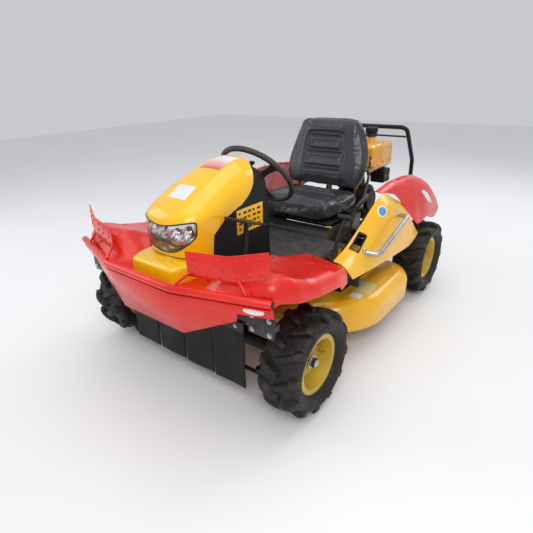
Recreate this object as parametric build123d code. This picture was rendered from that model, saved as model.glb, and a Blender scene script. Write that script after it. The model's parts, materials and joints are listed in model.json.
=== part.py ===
from build123d import *
import math
import os

# Ride-on brush mower. Millimetres, +Z up, the machine faces -Y and its left side is +X.
# The origin is on the ground, at the middle of the whole machine's footprint.
# Lengths along the machine are given as distances behind the front axle, which fa() turns into Y.

# ---------------------------------------------------------------- driving dimensions
FRONT_AXLE_Y = -587.0
WHEELBASE = 1200.0
TYRE_R = 205.0          # over the lug tips
CARCASS_R = 189.0       # between the lugs
TYRE_HALF_W = 85.0
LUGS_PER_SIDE = 12
RIM_R = 102.0
FLANGE_R = 117.0
RIM_HALF_W = 58.0
FRONT_WHEEL_X = 495.0   # wheel centre planes
REAR_WHEEL_X = 477.0
AXLE_Z = TYRE_R

SHAFT_R = 12.5          # stub axles and rear axle shafts
RUNNING = 0.05          # radial clearance of a running fit

RAIL_X = 170.0
RAIL_W = 30.0
RAIL_Z0 = 330.0
RAIL_Z1 = 380.0
RAIL_FRONT = -60.0
RAIL_REAR = 1330.0
WALL = 3.0

KINGPIN_X = 355.0
KINGPIN_R = 12.0
STEER_ARM = 100.0       # kingpin to tie rod pivot, pointing forward
PITMAN_D = 60.0         # pitman shaft behind the front axle

BUMPER_R = 13.5
BUMPER_BEND = (172.0, -324.0, 540.0)
BUMPER_END = (512.0, -215.0, 535.0)

DECK_BOTTOM = 120.0
DECK_TOP = 255.0
DECK_SHEET = 4.0
DECK_CENTRE = 610.0
DECK_ROUND_R = 500.0
BLADE_R = 475.0
BLADE_Z = 140.0

LINK_L = 150.0          # lift link, pivot to pivot
LINK_TILT = 10.0        # degrees above level at rest
LINK_Z = 300.0
FRONT_LINK_D = 480.0
REAR_LINK_D = 930.0
LINK_X = 193.0          # inner face of the link arms
LINK_T = 8.0

FLOOR_Z = 430.0
WHEEL_CENTRE = (360.0, 765.0)     # steering wheel hub: distance behind axle, height
COLUMN_DIR = (-0.764, -0.645)     # down the steering column
STEERING_R = 170.0
STEERING_GRIP_R = 13.0

SEAT_FRONT = 610.0
SEAT_HALF_W = 235.0


def fa(d):
    """Y of a point d behind the front axle."""
    return FRONT_AXLE_Y + d


def block(x0, x1, d0, d1, z0, z1):
    return Pos((x0 + x1) / 2, fa((d0 + d1) / 2), (z0 + z1) / 2) * Box(x1 - x0, d1 - d0, z1 - z0)


def side_plate(outline, x0, x1):
    """An outline of (distance behind axle, height) points, extruded from x0 to x1."""
    face = Face(Wire.make_polygon([Vector(x0, fa(d), z) for d, z in outline]))
    return extrude(face, amount=x1 - x0, dir=(1, 0, 0))


def plan_plate(outline, z0, z1):
    """An outline of (x, distance behind axle) points, extruded from z0 to z1."""
    face = Face(Wire.make_polygon([Vector(x, fa(d), z0) for x, d in outline]))
    return extrude(face, amount=z1 - z0, dir=(0, 0, 1))


def front_plate(outline, d0, d1):
    """An outline of (x, z) points, extruded from d0 to d1 behind the axle."""
    face = Face(Wire.make_polygon([Vector(x, fa(d0), z) for x, z in outline]))
    return extrude(face, amount=d1 - d0, dir=(0, 1, 0))


def sheet(points, thickness, toward):
    """A flat sheet on the given 3-D corners, thickened toward a direction."""
    face = Face(Wire.make_polygon([Vector(*p) for p in points]))
    normal = face.normal_at()
    if normal.dot(Vector(*toward)) < 0:
        normal = -normal
    return extrude(face, amount=thickness, dir=normal)


def rod(start, end, radius):
    """A round bar between two (x, d, z) points."""
    a = Vector(start[0], fa(start[1]), start[2])
    b = Vector(end[0], fa(end[1]), end[2])
    axis = b - a
    base = Plane(origin=a, z_dir=axis.normalized())
    return extrude(base * Circle(radius), amount=axis.length)


def bent_tube(points, radius, bend, wall=0.0):
    """A round bar, or a tube of the given wall, bent through (x, d, z) points."""
    path = FilletPolyline(*[Vector(x, fa(d), z) for x, d, z in points], radius=bend)
    start = Plane(origin=path @ 0, z_dir=path % 0)
    bar = sweep(start * Circle(radius), path=path)
    return bar if wall == 0 else bar - sweep(start * Circle(radius - wall), path=path)


def other_side(shape):
    return mirror(shape, about=Plane.YZ)


def both(shape):
    return [shape, other_side(shape)]


def node(name, *solids):
    """Writes one sub-part, as one solid or a group of separate solids."""
    parts = []
    for item in solids:
        parts.extend(item if isinstance(item, (list, tuple)) else [item])
    flat = []
    for item in parts:
        flat.extend(item.solids())
    shape = flat[0] if len(flat) == 1 else Compound(children=flat)
    export_step(shape, f"parts/{name}.step")


# ---------------------------------------------------------------- frame
def frame_rail():
    x0, x1 = RAIL_X - RAIL_W / 2, RAIL_X + RAIL_W / 2
    tube = block(x0, x1, RAIL_FRONT, RAIL_REAR, RAIL_Z0, RAIL_Z1)
    return tube - block(x0 + WALL, x1 - WALL, RAIL_FRONT - 1, RAIL_REAR + 1, RAIL_Z0 + WALL, RAIL_Z1 - WALL)


def frame_crossmembers():
    inner = RAIL_X - RAIL_W / 2
    outer = RAIL_X + RAIL_W / 2
    tubes = [block(-inner, inner, d, d + 30, 335, 375) for d in (-55, 215, 1000, 1300)]
    outriggers = [block(outer, 500, d, d + 30, 335, 365) for d in (400, 960)]
    hanger = side_plate([(-40, 230), (40, 230), (90, RAIL_Z0), (-50, RAIL_Z0)], 160, 180)
    channel = block(395, 430, 380, 1000, 298, 335) - block(399, 431, 379, 1001, 302, 331)
    side_frame = outriggers + [channel, hanger]
    result = tubes + side_frame + [other_side(s) for s in side_frame]
    for d in (FRONT_LINK_D, REAR_LINK_D):
        ear = side_plate([(d - 22, 282), (d + 22, 282), (d + 30, RAIL_Z0), (d - 30, RAIL_Z0)], 162, 178)
        hole = rod((150, d, LINK_Z), (190, d, LINK_Z), 10 + RUNNING)
        result += both(ear - hole)
    return result


def front_axle_beam():
    beam = block(-340, 340, -25, 25, 180, 230) - block(-330, 330, -22, 22, 183, 227)
    for side in (-1, 1):
        sleeve = Pos(side * KINGPIN_X, fa(0), AXLE_Z) * Cylinder(22, 80)
        beam = beam + sleeve
    for side in (-1, 1):
        beam = beam - Pos(side * KINGPIN_X, fa(0), AXLE_Z) * Cylinder(KINGPIN_R + RUNNING, 90)
    return beam


def knuckle():
    """Left steering knuckle: two ears on a kingpin, stub axle with nut, and steering arm."""
    low, high = AXLE_Z - 53, AXLE_Z + 53
    ears = block(335, 380, -22, 22, high - 12, high) + block(335, 380, -22, 22, low, low + 12)
    web = block(380, 392, -22, 22, low, high)
    pin = rod((KINGPIN_X, 0, low), (KINGPIN_X, 0, high), KINGPIN_R)
    stub = rod((392, 0, AXLE_Z), (542, 0, AXLE_Z), SHAFT_R)
    nut = Plane(origin=(FRONT_WHEEL_X + 34, fa(0), AXLE_Z), z_dir=(1, 0, 0)) * extrude(RegularPolygon(19, 6), 14)
    arm = block(KINGPIN_X - 11, KINGPIN_X + 11, -STEER_ARM, -20, low, low + 12)
    arm_end = rod((KINGPIN_X, -STEER_ARM, low), (KINGPIN_X, -STEER_ARM, low + 12), 14)
    eye = rod((KINGPIN_X, -STEER_ARM, low - 1), (KINGPIN_X, -STEER_ARM, low + 13), 6 + RUNNING)
    return ears + web + pin + stub + nut + arm + arm_end - eye


def tie_rod():
    """Track rod with a pin up into each steering arm and a lug back to the pitman arm."""
    z = AXLE_Z - 53 - 14
    bar = rod((-KINGPIN_X, -STEER_ARM, z), (KINGPIN_X, -STEER_ARM, z), 8)
    left_pin = rod((KINGPIN_X, -STEER_ARM, z - 9), (KINGPIN_X, -STEER_ARM, z + 26), 6)
    right_pin = rod((-KINGPIN_X, -STEER_ARM, z - 9), (-KINGPIN_X, -STEER_ARM, z + 26), 5.6)
    lug = block(-12, 12, -STEER_ARM, PITMAN_D - STEER_ARM + 12, z - 6, z + 4)
    eye = rod((0, PITMAN_D - STEER_ARM, z - 8), (0, PITMAN_D - STEER_ARM, z + 8), 6.5)
    return bar + left_pin + right_pin + lug - eye


def pitman_arm():
    """Arm under the axle beam, on a vertical shaft that comes down from the steering box."""
    z = AXLE_Z - 53 - 8
    arm = block(-10, 10, PITMAN_D - STEER_ARM, PITMAN_D, z, z + 10)
    boss = rod((0, PITMAN_D, z), (0, PITMAN_D, z + 10), 16)
    shaft = rod((0, PITMAN_D, z), (0, PITMAN_D, 538), 10)
    pin = rod((0, PITMAN_D - STEER_ARM, z - 18), (0, PITMAN_D - STEER_ARM, z + 10), 6)
    return arm + boss + shaft + pin


# ---------------------------------------------------------------- wheels
def turned(profile, x, axle_d):
    """Revolves (axial, radius) points about a wheel's axle."""
    points = [Vector(x + a, fa(axle_d) + r, AXLE_Z) for a, r in profile]
    face = Face(Wire.make_polygon(points))
    return revolve(face, Axis((x, fa(axle_d), AXLE_Z), (1, 0, 0)))


def tyre(x, axle_d):
    """Lugged tyre, open to the rim inside, with chevron bars meeting near the middle."""
    half = [(45, RIM_R), (52, RIM_R), (53.5, FLANGE_R), (72, 130), (TYRE_HALF_W, 150), (83, 170),
            (74, 184), (40, CARCASS_R)]
    inner = [(34, 178), (64, 172), (73, 150), (62, 135), (45, 122)]
    outline = half + [(-a, r) for a, r in reversed(half)] + [(-a, r) for a, r in reversed(inner)] + inner
    carcass = turned(outline, x, axle_d)
    ring = turned([(-78, 180), (78, 180), (78, 196), (60, TYRE_R), (-60, TYRE_R), (-78, 196)], x, axle_d)
    centre = Pos(x, fa(axle_d), AXLE_Z)
    pitch = 360.0 / LUGS_PER_SIDE
    lugs = []
    for side, phase in ((1, 0.0), (-1, pitch / 2)):
        bar = Pos(side * 40, 0, -(TYRE_R - 14)) * Rot(0, 0, side * 32) * Box(92, 24, 34)
        bar = (centre * bar) & ring
        for i in range(LUGS_PER_SIDE):
            axis = Axis((x, fa(axle_d), AXLE_Z), (1, 0, 0))
            lugs.append(bar.rotate(axis, phase + i * pitch))
    return carcass.fuse(*lugs)


def rim(x, axle_d, shaft_end=None):
    """Dished steel wheel: hub, disc and flanged barrel. A driven wheel has its axle shaft fixed in the hub."""
    hub_in = -74.0 if shaft_end is None else -105.0
    bore = SHAFT_R + RUNNING if shaft_end is None else SHAFT_R
    w = RIM_HALF_W
    hub = turned([(hub_in, bore), (30, bore), (30, 27), (hub_in, 27)], x, axle_d)
    barrel = turned([(-w, 98), (w, 98), (w, FLANGE_R), (w - 4, FLANGE_R), (w - 4, RIM_R),
                     (-w + 4, RIM_R), (-w + 4, FLANGE_R), (-w, FLANGE_R)], x, axle_d)
    disc = turned([(8, 26), (13, 26), (13, 62), (-6, 99), (-12, 99), (8, 60)], x, axle_d)
    wheel = hub + barrel + disc
    if shaft_end is not None:
        wheel = wheel + rod((shaft_end, axle_d, AXLE_Z), (x + 34, axle_d, AXLE_Z), SHAFT_R)
    return wheel


# ---------------------------------------------------------------- bumper and guards
def bumper_tube():
    bx, bd, bz = BUMPER_BEND
    ex, ed, ez = BUMPER_END
    return bent_tube([(-ex, ed, ez), (-bx, bd, bz), (bx, bd, bz), (ex, ed, ez)], BUMPER_R, 60, 2.5)


def bumper_skirt():
    """Folded sheet below the bumper tube: a front facet and two tapering side facets."""
    bx, bd, bz = BUMPER_BEND
    ex, ed, ez = BUMPER_END
    top = bz - BUMPER_R - 1.2
    low_d, low_z = -286.0, 347.0
    front = sheet([(-bx, fa(bd), top), (bx, fa(bd), top), (bx, fa(low_d), low_z), (-bx, fa(low_d), low_z)],
                  WALL, (0, 1, 0))
    along = (ed - bd) / (ex - bx)
    lean = (low_d - bd) / (top - low_z)

    def on_side(x, z):
        return (x, fa(bd + along * (x - bx) + lean * (top - z)), z)

    outline = [(bx, top), (ex, top - 5), (ex, 480), (392, 478), (385, 447), (bx, low_z)]
    side = sheet([on_side(x, z) for x, z in outline], WALL, (0, 1, 0))
    return front + side + other_side(side)


def bumper_brackets():
    """Frame plates to the bumper, the cross tube with its end plates, and the flap clamp bar."""
    cross = block(-505, 505, -192, -168, 420, 444)
    plate = side_plate([(-60, 330), (-60, 382), (-150, 448), (-266, 464), (-291, 480), (-291, 534), (-309.5, 538),
                        (-306, 500), (-262, 440), (-170, 378), (-138, 378), (-110, 330)], 164, 172) - cross
    end_plate = front_plate([(395, 392), (500, 392), (505, 415), (505, 500), (425, 500), (395, 470)], -198, -192)
    clamp = block(-335, 335, -158, -152, 338, 378)
    return [cross, clamp] + both(plate) + both(end_plate)


def rubber_flaps():
    width = 165.0
    return [block(-330 + i * width + 1.5, -330 + (i + 1) * width - 1.5, -151.5, -145.5, 80, 376) for i in range(4)]


def leg_guard():
    """Left leg guard: dimpled plate with an upright fold, welded to a bent rod off the bumper."""
    inner, fold, outer = (204, -270, 657), (362, -238, 664), (480, -184, 686)
    drop = (6, 0, -84)

    def corner(p, low):
        return (p[0] + (drop[0] if low else 0), fa(p[1] + (drop[1] if low else 0)), p[2] + (drop[2] if low else 0))

    guard = None
    for a, b in ((inner, fold), (fold, outer)):
        plate = sheet([corner(a, False), corner(b, False), corner(b, True), corner(a, True)], WALL, (0, 1, 0))
        guard = plate if guard is None else guard + plate
    legs = [rod((190, -314, 554), (216, -267, 586), 5), rod((430, -237, 550.6), (388, -227, 594), 5)]
    for leg in legs:
        guard = guard + leg
    return guard - bumper_tube()


# ---------------------------------------------------------------- front bodywork
FENDER_TOP = [(-310, 512), (-235, 520), (-205, 575), (-150, 596), (-40, 556), (130, 521), (166, 494), (300, 470),
              (340, 462)]
FENDER_LIP = [(-310, 500), (-206, 500), (-176, 521), (-91, 498), (31, 480), (126, 463), (166, 444), (180, 424),
              (340, 424)]
FENDER_PLAN = [(196, -300), (300, -268), (455, -218), (505, -192), (545, -110), (558, 0), (553, 128), (540, 168),
               (532, 180), (524, 252), (434, 297), (286, 336), (257, 190), (257, -62), (196, -118)]


def fender_wing():
    """Left front fender: a thin shell with a domed top and a lip down over the wheel."""
    top = FENDER_TOP
    sheet_t = 4.0
    solid = side_plate(top + [(d, z) for d, z in reversed(FENDER_LIP)], 150, 600)
    plan = plan_plate(FENDER_PLAN, 380, 640)
    outer = solid & plan
    hollow_profile = [(d, z - sheet_t) for d, z in top]
    hollow = side_plate(hollow_profile + [(340, 380), (-310, 380)], 140, 610)
    inset = [(x - sheet_t * (1 if x > 300 else -1), d + (sheet_t if d < 0 else -sheet_t)) for x, d in FENDER_PLAN]
    core = plan_plate(inset, 370, 650)
    return outer - (hollow & core)


def front_platform():
    """Centre deck of the front body, between the two fenders and under the nose."""
    outline = [(-194, -286), (194, -286), (194, -122), (148, -112), (148, -78), (-148, -78), (-148, -112),
               (-194, -122)]
    top = plan_plate(outline, 500, 506)
    lip = block(-194, 194, -286, -282, 482, 500)
    return top + lip


def nose_box():
    outline = [(-108, -265), (108, -265), (136, -205), (140, -128), (-140, -128), (-136, -205)]
    body = plan_plate(outline, 506, 566)
    top_edges = body.faces().sort_by(Axis.Z)[-1].edges()
    body = fillet(top_edges, 14)
    core = plan_plate([(x * 0.96, d + (4 if d < -150 else -4)) for x, d in outline], 500, 562)
    return body - core


HOOD_SIDE = [(-203, 640), (-190, 574), (-124, 570), (-120, 512), (-90, 512), (-86, 587), (-78, 643), (-10, 692),
             (78, 718), (160, 775), (182, 822), (202, 866), (144, 877), (34, 829), (-43, 796), (-120, 748),
             (-176, 722), (-200, 700)]
HOOD_HALF = 150.0
LENS_OUTLINE = [(-150, 694), (-70, 676), (0, 656), (70, 676), (150, 694), (128, 640), (70, 598), (0, 584),
                (-70, 598), (-128, 640)]


def hood_form(grow):
    """The hood's outer form, shrunk inward by the given amount on its sides and top."""
    half = HOOD_HALF - grow
    plan = [(-half, 230), (-half, -60), (-half + 8, -130), (-half + 50, -186 + grow), (-60, -205 + grow),
            (60, -205 + grow), (half - 50, -186 + grow), (half - 8, -130), (half, -60), (half, 230)]
    section = [(-half, 480), (-half, 700), (-half + 12, 790 - grow), (-half + 45, 850 - grow), (-60, 880 - grow),
               (60, 880 - grow), (half - 45, 850 - grow), (half - 12, 790 - grow), (half, 700), (half, 480)]
    return plan_plate(plan, 470, 900) & front_plate(section, -230, 230)


def hood():
    """One-piece hood with the opening for the headlight."""
    outer = side_plate(HOOD_SIDE, -HOOD_HALF, HOOD_HALF) & hood_form(0)
    inner_side = [(-199, 560), (-120, 500), (-80, 480), (230, 480), (230, 880), (202, 860), (144, 872), (34, 824),
                  (-43, 791), (-120, 743), (-176, 717), (-196, 698)]
    inner = side_plate(inner_side, -HOOD_HALF, HOOD_HALF) & hood_form(4)
    shell = outer - inner
    return shell - front_plate(LENS_OUTLINE, -240, -100)


def headlight_lens():
    """Clear wrap-round lens that fills the hood's headlight opening."""
    outer = side_plate(HOOD_SIDE, -HOOD_HALF, HOOD_HALF) & hood_form(0)
    inner = side_plate([(-199, 560), (-90, 560), (-90, 700), (-196, 698)], -HOOD_HALF, HOOD_HALF) & hood_form(3)
    window = [(x * 0.985, 642 + (z - 642) * 0.975) for x, z in LENS_OUTLINE]
    return (outer - inner) & front_plate(window, -240, -101)


def headlight_reflector():
    """Two reflector bowls on one carrier behind the lens."""
    carrier = front_plate([(-150, 640), (-80, 602), (80, 602), (150, 640), (150, 668), (60, 662), (0, 648), (-60, 662),
                           (-150, 668)], -128, -118) & hood_form(4.5)
    bowls = [rod((x, -160, 636), (x, -128, 636), 26) - rod((x, -161, 636), (x, -134, 636), 22) for x in (-58, 58)]
    bulbs = [rod((x, -152, 636), (x, -134, 636), 6) for x in (-58, 58)]
    result = carrier
    for item in bowls + bulbs:
        result = result + item
    return result


COWL_SIDE = [(-74, 436), (262, 436), (262, 640), (252, 812), (206, 846), (150, 842), (40, 800), (-20, 740),
             (-74, 640)]


def column_axis(s):
    """Point on the steering axis, s below the wheel hub."""
    return (0, WHEEL_CENTRE[0] + COLUMN_DIR[0] * s, WHEEL_CENTRE[1] + COLUMN_DIR[1] * s)


COWL_SECTION = [(-138, 420), (-138, 690), (-128, 775), (-96, 832), (-56, 856), (56, 856), (96, 832), (128, 775),
                (138, 690), (138, 420)]
KEY_MOUTH = (-70, 229, 829)
DASH_NORMAL = (0.594, 0.804)      # outward from the dash face: along the machine, up


def key_axis(s):
    """Point on the ignition key's axis, s out of the dash face."""
    return (KEY_MOUTH[0], KEY_MOUTH[1] + DASH_NORMAL[0] * s, KEY_MOUTH[2] + DASH_NORMAL[1] * s)


def cowl():
    """Black moulded tower behind the hood. Open below, holed for the column, the key and the throttle."""
    outer = side_plate(COWL_SIDE, -140, 140) & front_plate(COWL_SECTION, -100, 300)
    inner_side = [(-70, 430), (258, 430), (258, 640), (248, 810), (205, 842), (151, 838), (43, 796), (-17, 737),
                  (-70, 638)]
    inner_section = [(x * 0.97, z if z < 500 else z - 4) for x, z in COWL_SECTION]
    inner = side_plate(inner_side, -140, 140) & front_plate(inner_section, -100, 300)
    shell = outer - inner
    shell = shell - rod(column_axis(60), column_axis(220), 23)
    shell = shell - block(66, 74, 205, 248, 800, 860)
    return shell - rod(key_axis(-30), key_axis(20), 6 + RUNNING)


def steering_column():
    """Column tube down to the steering box, in one casting with bearings for both shafts."""
    tube = rod(column_axis(30), column_axis(318), 20)
    box = block(-36, 36, 30, 128, 437, 566)
    shape = tube + box - rod(column_axis(29), column_axis(344), 9 + RUNNING)
    return shape - rod((0, PITMAN_D, 430), (0, PITMAN_D, 541), 10 + RUNNING)


def steering_wheel():
    """Wheel rim with three spokes and hub, on the steering shaft."""
    centre = Vector(0, fa(WHEEL_CENTRE[0]), WHEEL_CENTRE[1])
    up = Vector(0, -COLUMN_DIR[0], -COLUMN_DIR[1])
    plane = Plane(origin=centre, x_dir=(1, 0, 0), z_dir=up)
    ring = plane * Torus(STEERING_R, STEERING_GRIP_R)
    hub = plane * Pos(0, 0, -14) * Cylinder(34, 30)
    shape = ring + hub
    for angle in (90, 210, 330):
        spoke = plane * Rot(0, 0, angle) * Pos(105, 0, -6) * Box(160, 30, 9)
        shape = shape + spoke
    shaft = rod(column_axis(20), column_axis(340), 9)
    return shape + shaft


def floor_plate():
    """Chequer floor from the cowl to the seat base, on the frame rails."""
    outline = [(-252, -58), (252, -58), (252, 190), (283, 336), (330, 345), (330, 600), (-330, 600), (-330, 345),
               (-283, 336), (-252, 190)]
    plate = plan_plate(outline, FLOOR_Z, FLOOR_Z + 3)
    plate = plate - rod((0, PITMAN_D, 420), (0, PITMAN_D, 440), 14)
    posts = [block(x0, x0 + 20, d, d + 40, RAIL_Z1, FLOOR_Z) for x0 in (-180, 160) for d in (-50, 260, 540)]
    return [plate] + posts


def floor_mat():
    mat = plan_plate([(145, -40), (240, -40), (240, 190), (270, 340), (318, 350), (318, 590), (-318, 590),
                      (-318, 350), (-270, 340), (-240, 190), (-240, -40), (-145, -40), (-145, 270), (145, 270)],
                     FLOOR_Z + 3, FLOOR_Z + 6)
    return mat


# ---------------------------------------------------------------- seat
def seat_base():
    """Black pedestal box on the rails, with two slide channels on top."""
    outer = side_plate([(606, RAIL_Z1), (606, 452), (640, 466), (1010, 466), (1010, RAIL_Z1)], -200, 200)
    inner = side_plate([(609, 376), (609, 450), (642, 463), (1007, 463), (1007, 376)], -197, 197)
    channels = [block(x - 16, x + 16, 640, 960, 466, 478) - block(x - 12, x + 12, 639, 961, 469, 479)
                for x in (-150, 150)]
    return [outer - inner] + channels


def seat_pan():
    """Sliding seat pan with its runners and the two upright arms that carry the back rest."""
    shape = block(-216, 216, 640, 1000, 493, 496)
    for x in (-150, 150):
        shape = shape + block(x - 11.5, x + 11.5, 650, 950, 469.5, 493)
    arm_side = [(950, 496), (1000, 496), (1058, 640), (1064, 760), (1052, 760), (1041, 645), (985, 540), (950, 506)]
    for x in (-216, 208):
        shape = shape + side_plate(arm_side, x, x + 8)
    return shape


def seat_cushion():
    """Cushion, crowned forward into a thick front roll."""
    side = [(SEAT_FRONT + 26, 497), (945, 497), (945, 600), (760, 604), (660, 606), (SEAT_FRONT + 12, 590),
            (SEAT_FRONT, 556), (SEAT_FRONT + 6, 515)]
    form = side_plate(side, -SEAT_HALF_W, SEAT_HALF_W)
    plan = [(-200, SEAT_FRONT), (200, SEAT_FRONT), (SEAT_HALF_W, 660), (SEAT_HALF_W, 900), (205, 950),
            (-205, 950), (-SEAT_HALF_W, 900), (-SEAT_HALF_W, 660)]
    return form & plan_plate(plan, 490, 620)


def seat_back():
    """Back rest, widest at its lower third and narrower at the top."""
    side = [(888, 604), (950, 604), (1036, 640), (1050, 760), (1046, 930), (1026, 962), (990, 962), (962, 930),
            (912, 700)]
    form = side_plate(side, -245, 245)
    front = [(-215, 600), (215, 600), (240, 690), (244, 745), (205, 900), (166, 962), (-166, 962), (-205, 900),
             (-244, 745), (-240, 690)]
    return form & front_plate(front, 860, 1070)


# ---------------------------------------------------------------- side and rear bodywork
COVER_STATIONS = [  # distance behind axle, then (x, z) of the top edge, the bulge and the lower edge
    (302, (430, 476), (478, 470), (522, 420)),
    (420, (424, 500), (480, 484), (520, 404)),
    (560, (421, 562), (484, 522), (518, 388)),
    (748, (420, 646), (488, 580), (516, 370)),
    (870, (434, 606), (492, 540), (514, 360)),
    (965, (456, 548), (498, 480), (512, 357)),
    (1060, (497, 406), (504, 398), (510, 386)),
]


def lofted_sheet(stations, thickness):
    """A thin shell through sections of three (x, z) points at given distances behind the axle."""
    sections = []
    for d, top, bulge, low in stations:
        ring = [top, bulge, low, (low[0] - thickness, low[1]), (bulge[0] - thickness, bulge[1] - thickness),
                (top[0], top[1] - thickness)]
        sections.append(Wire.make_polygon([Vector(x, fa(d), z) for x, z in ring]))
    return Solid.make_loft(sections, ruled=True)


def side_cover():
    """Left side cover: a twisted panel from the front step up to the rear fender, with a lever slot."""
    cover = lofted_sheet(COVER_STATIONS, 4)
    slot = plan_plate([(440, 414), (432, 518), (463, 530), (475, 427)], 470, 560)
    return cover - slot


def grab_handle():
    """Left grab handle on the side cover: a bright tube between two standoffs."""
    low, high = (540, 500, 462), (540, 790, 552)
    tube = bent_tube([(488, 470, 470), low, high, (488, 822, 545)], 11, 20, 2)
    return (tube - side_cover()).solids().sort_by(SortBy.VOLUME)[-1]


REAR_FENDER_STATIONS = [
    (752, (385, 660), (408, 660), (418, 656)),
    (826, (385, 668), (414, 667), (430, 640)),
    (897, (385, 676), (424, 673), (446, 606)),
    (1043, (385, 674), (450, 662), (496, 450)),
    (1110, (385, 668), (460, 650), (500, 428)),
    (1200, (385, 656), (470, 630), (502, 440)),
    (1290, (385, 632), (474, 600), (500, 410)),
    (1370, (385, 592), (470, 560), (496, 402)),
    (1450, (385, 530), (456, 508), (484, 436)),
    (1480, (385, 492), (428, 484), (440, 472)),
]


def rear_fender():
    """Left rear fender: a thin shell over the wheel, open below and on its inner side."""
    return lofted_sheet(REAR_FENDER_STATIONS, 4)


# ---------------------------------------------------------------- engine and drive
def engine_block():
    """Crankcase, inclined cylinder with cooling fins, and crankshaft stub."""
    case = block(-95, 95, 1130, 1300, 386, 500)
    feet = block(-185, 185, 1140, 1290, RAIL_Z1, 386)
    tilt = Pos(0, fa(1290), 520) * Rot(25, 0, 0)
    cylinder = tilt * Box(90, 110, 110)
    fins = [tilt * Pos(0, 0, -45 + i * 18) * Box(118, 136, 5) for i in range(6)]
    shape = case + feet + cylinder
    for fin in fins:
        shape = shape + fin
    return shape


def engine_shroud():
    """Fan housing with the recoil starter on the engine's left side."""
    housing = Plane(origin=(96, fa(1215), 480), z_dir=(1, 0, 0)) * extrude(Circle(88), 46)
    starter = Plane(origin=(142, fa(1215), 480), z_dir=(1, 0, 0)) * extrude(Circle(60), 22)
    return housing + starter


CAP_CENTRE = (122, 1245)      # filler neck: from the middle plane, behind the front axle
CAP_BASE = 858.0


def tank_form(inset):
    """The tank's outline, or its hollow when inset by the wall."""
    w = 184 - inset
    plan = [(-w + 6, 1150 + inset), (w - 6, 1150 + inset), (w, 1180), (w, 1410), (w - 12, 1430 - inset),
            (-w + 12, 1430 - inset), (-w, 1410), (-w, 1180)]
    form = plan_plate(plan, 650 + inset, 800 - inset)
    form = fillet(form.faces().sort_by(Axis.Z)[-1].edges(), 26 - inset)
    return chamfer(form.faces().sort_by(Axis.Z)[0].edges(), 16)


def fuel_tank():
    """Pressed tank over the engine, two halves joined by a flange seam, with a filler neck."""
    flange = plan_plate([(-184, 1144), (184, 1144), (192, 1176), (192, 1414), (178, 1438), (-178, 1438),
                         (-192, 1414), (-192, 1176)], 688, 692)
    neck = rod((*CAP_CENTRE, 795), (*CAP_CENTRE, CAP_BASE - 0.5), 25)
    shape = tank_form(0) + flange + neck - tank_form(2)
    return shape - rod((*CAP_CENTRE, 790), (*CAP_CENTRE, CAP_BASE + 1), 21)


def fuel_cap():
    cap = rod((*CAP_CENTRE, CAP_BASE), (*CAP_CENTRE, CAP_BASE + 28), 34)
    return cap + rod((*CAP_CENTRE, CAP_BASE - 18), (*CAP_CENTRE, CAP_BASE + 1), 20.9)


def air_cleaner():
    body = fillet(block(98, 186, 1318, 1412, 560, 640).edges(), 10)
    return body + rod((60, 1365, 600), (100, 1365, 600), 14)


def muffler():
    body = block(-170, -96, 1240, 1400, 530, 620)
    body = fillet(body.edges().filter_by(Axis.Y), 20) - block(-168, -98, 1242, 1398, 545, 605)
    return body + rod((-133, 1400, 560), (-133, 1440, 556), 13) + rod((-60, 1300, 575), (-98, 1300, 575), 12)


def tank_bracket():
    """Legs that carry the tank from the crankcase."""
    return [block(x, x + 8, 1150, 1180, 500, 650) for x in (-90, 82)]


def rear_guard():
    """Tubular hoop round the engine, with a thin cross bar."""
    left = [(280, 1362, 880), (280, 1500, 680), (280, 1500, 560), (272, 1440, 380), (172, 1346, 356)]
    right = [(-x, d, z) for x, d, z in reversed(left)]
    hoop = bent_tube(right + left, 12, 34, 2.5)
    bar = rod((-271, 1400, 825), (271, 1400, 825), 5)
    return hoop + bar


def transaxle():
    """Hydrostatic transaxle: gear case, axle tubes, input shaft pulley and two hangers up to the rails."""
    case = block(-90, 90, 1142, 1285, 128, 290)
    case = fillet(case.edges().filter_by(Axis.X), 24)
    tubes = rod((-335, WHEELBASE, AXLE_Z), (335, WHEELBASE, AXLE_Z), 28)
    saddle = block(155, 185, 1160, 1240, 225, RAIL_Z0)
    shape = case + tubes + saddle + other_side(saddle)
    return shape - rod((58, WHEELBASE, AXLE_Z), (340, WHEELBASE, AXLE_Z), SHAFT_R + RUNNING) \
        - rod((-58, WHEELBASE, AXLE_Z), (-340, WHEELBASE, AXLE_Z), SHAFT_R + RUNNING)


def hitch_plate():
    plate = plan_plate([(-60, 1302), (60, 1302), (45, 1420), (-45, 1420)], 323, 335)
    return plate - rod((0, 1394, 320), (0, 1394, 340), 8)


# ---------------------------------------------------------------- mowing deck
def rounded_plan(grow):
    """Deck planform: a round housing joined to a wide body that reaches past the rails."""
    half = 555.0 - grow
    front_r, rear_r = 300.0 - grow, 150.0 - grow
    body = block(-half, half, 270 + grow, 970 - grow, DECK_BOTTOM, DECK_TOP)
    uprights = body.edges().filter_by(Axis.Z)
    front_edges = uprights.filter_by(lambda e: e.center().Y < fa(500))
    body = fillet(front_edges, front_r)
    rear_edges = body.edges().filter_by(Axis.Z).filter_by(lambda e: e.center().Y > fa(960))
    body = fillet(rear_edges, rear_r)
    disc = Pos(0, fa(DECK_CENTRE), (DECK_BOTTOM + DECK_TOP) / 2) * Cylinder(DECK_ROUND_R - grow, DECK_TOP - DECK_BOTTOM)
    return body, disc


def domed(body, disc, dome):
    body = fillet(body.faces().sort_by(Axis.Z)[-1].edges(), dome)
    disc = fillet(disc.faces().sort_by(Axis.Z)[-1].edges(), dome)
    return body + disc


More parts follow.
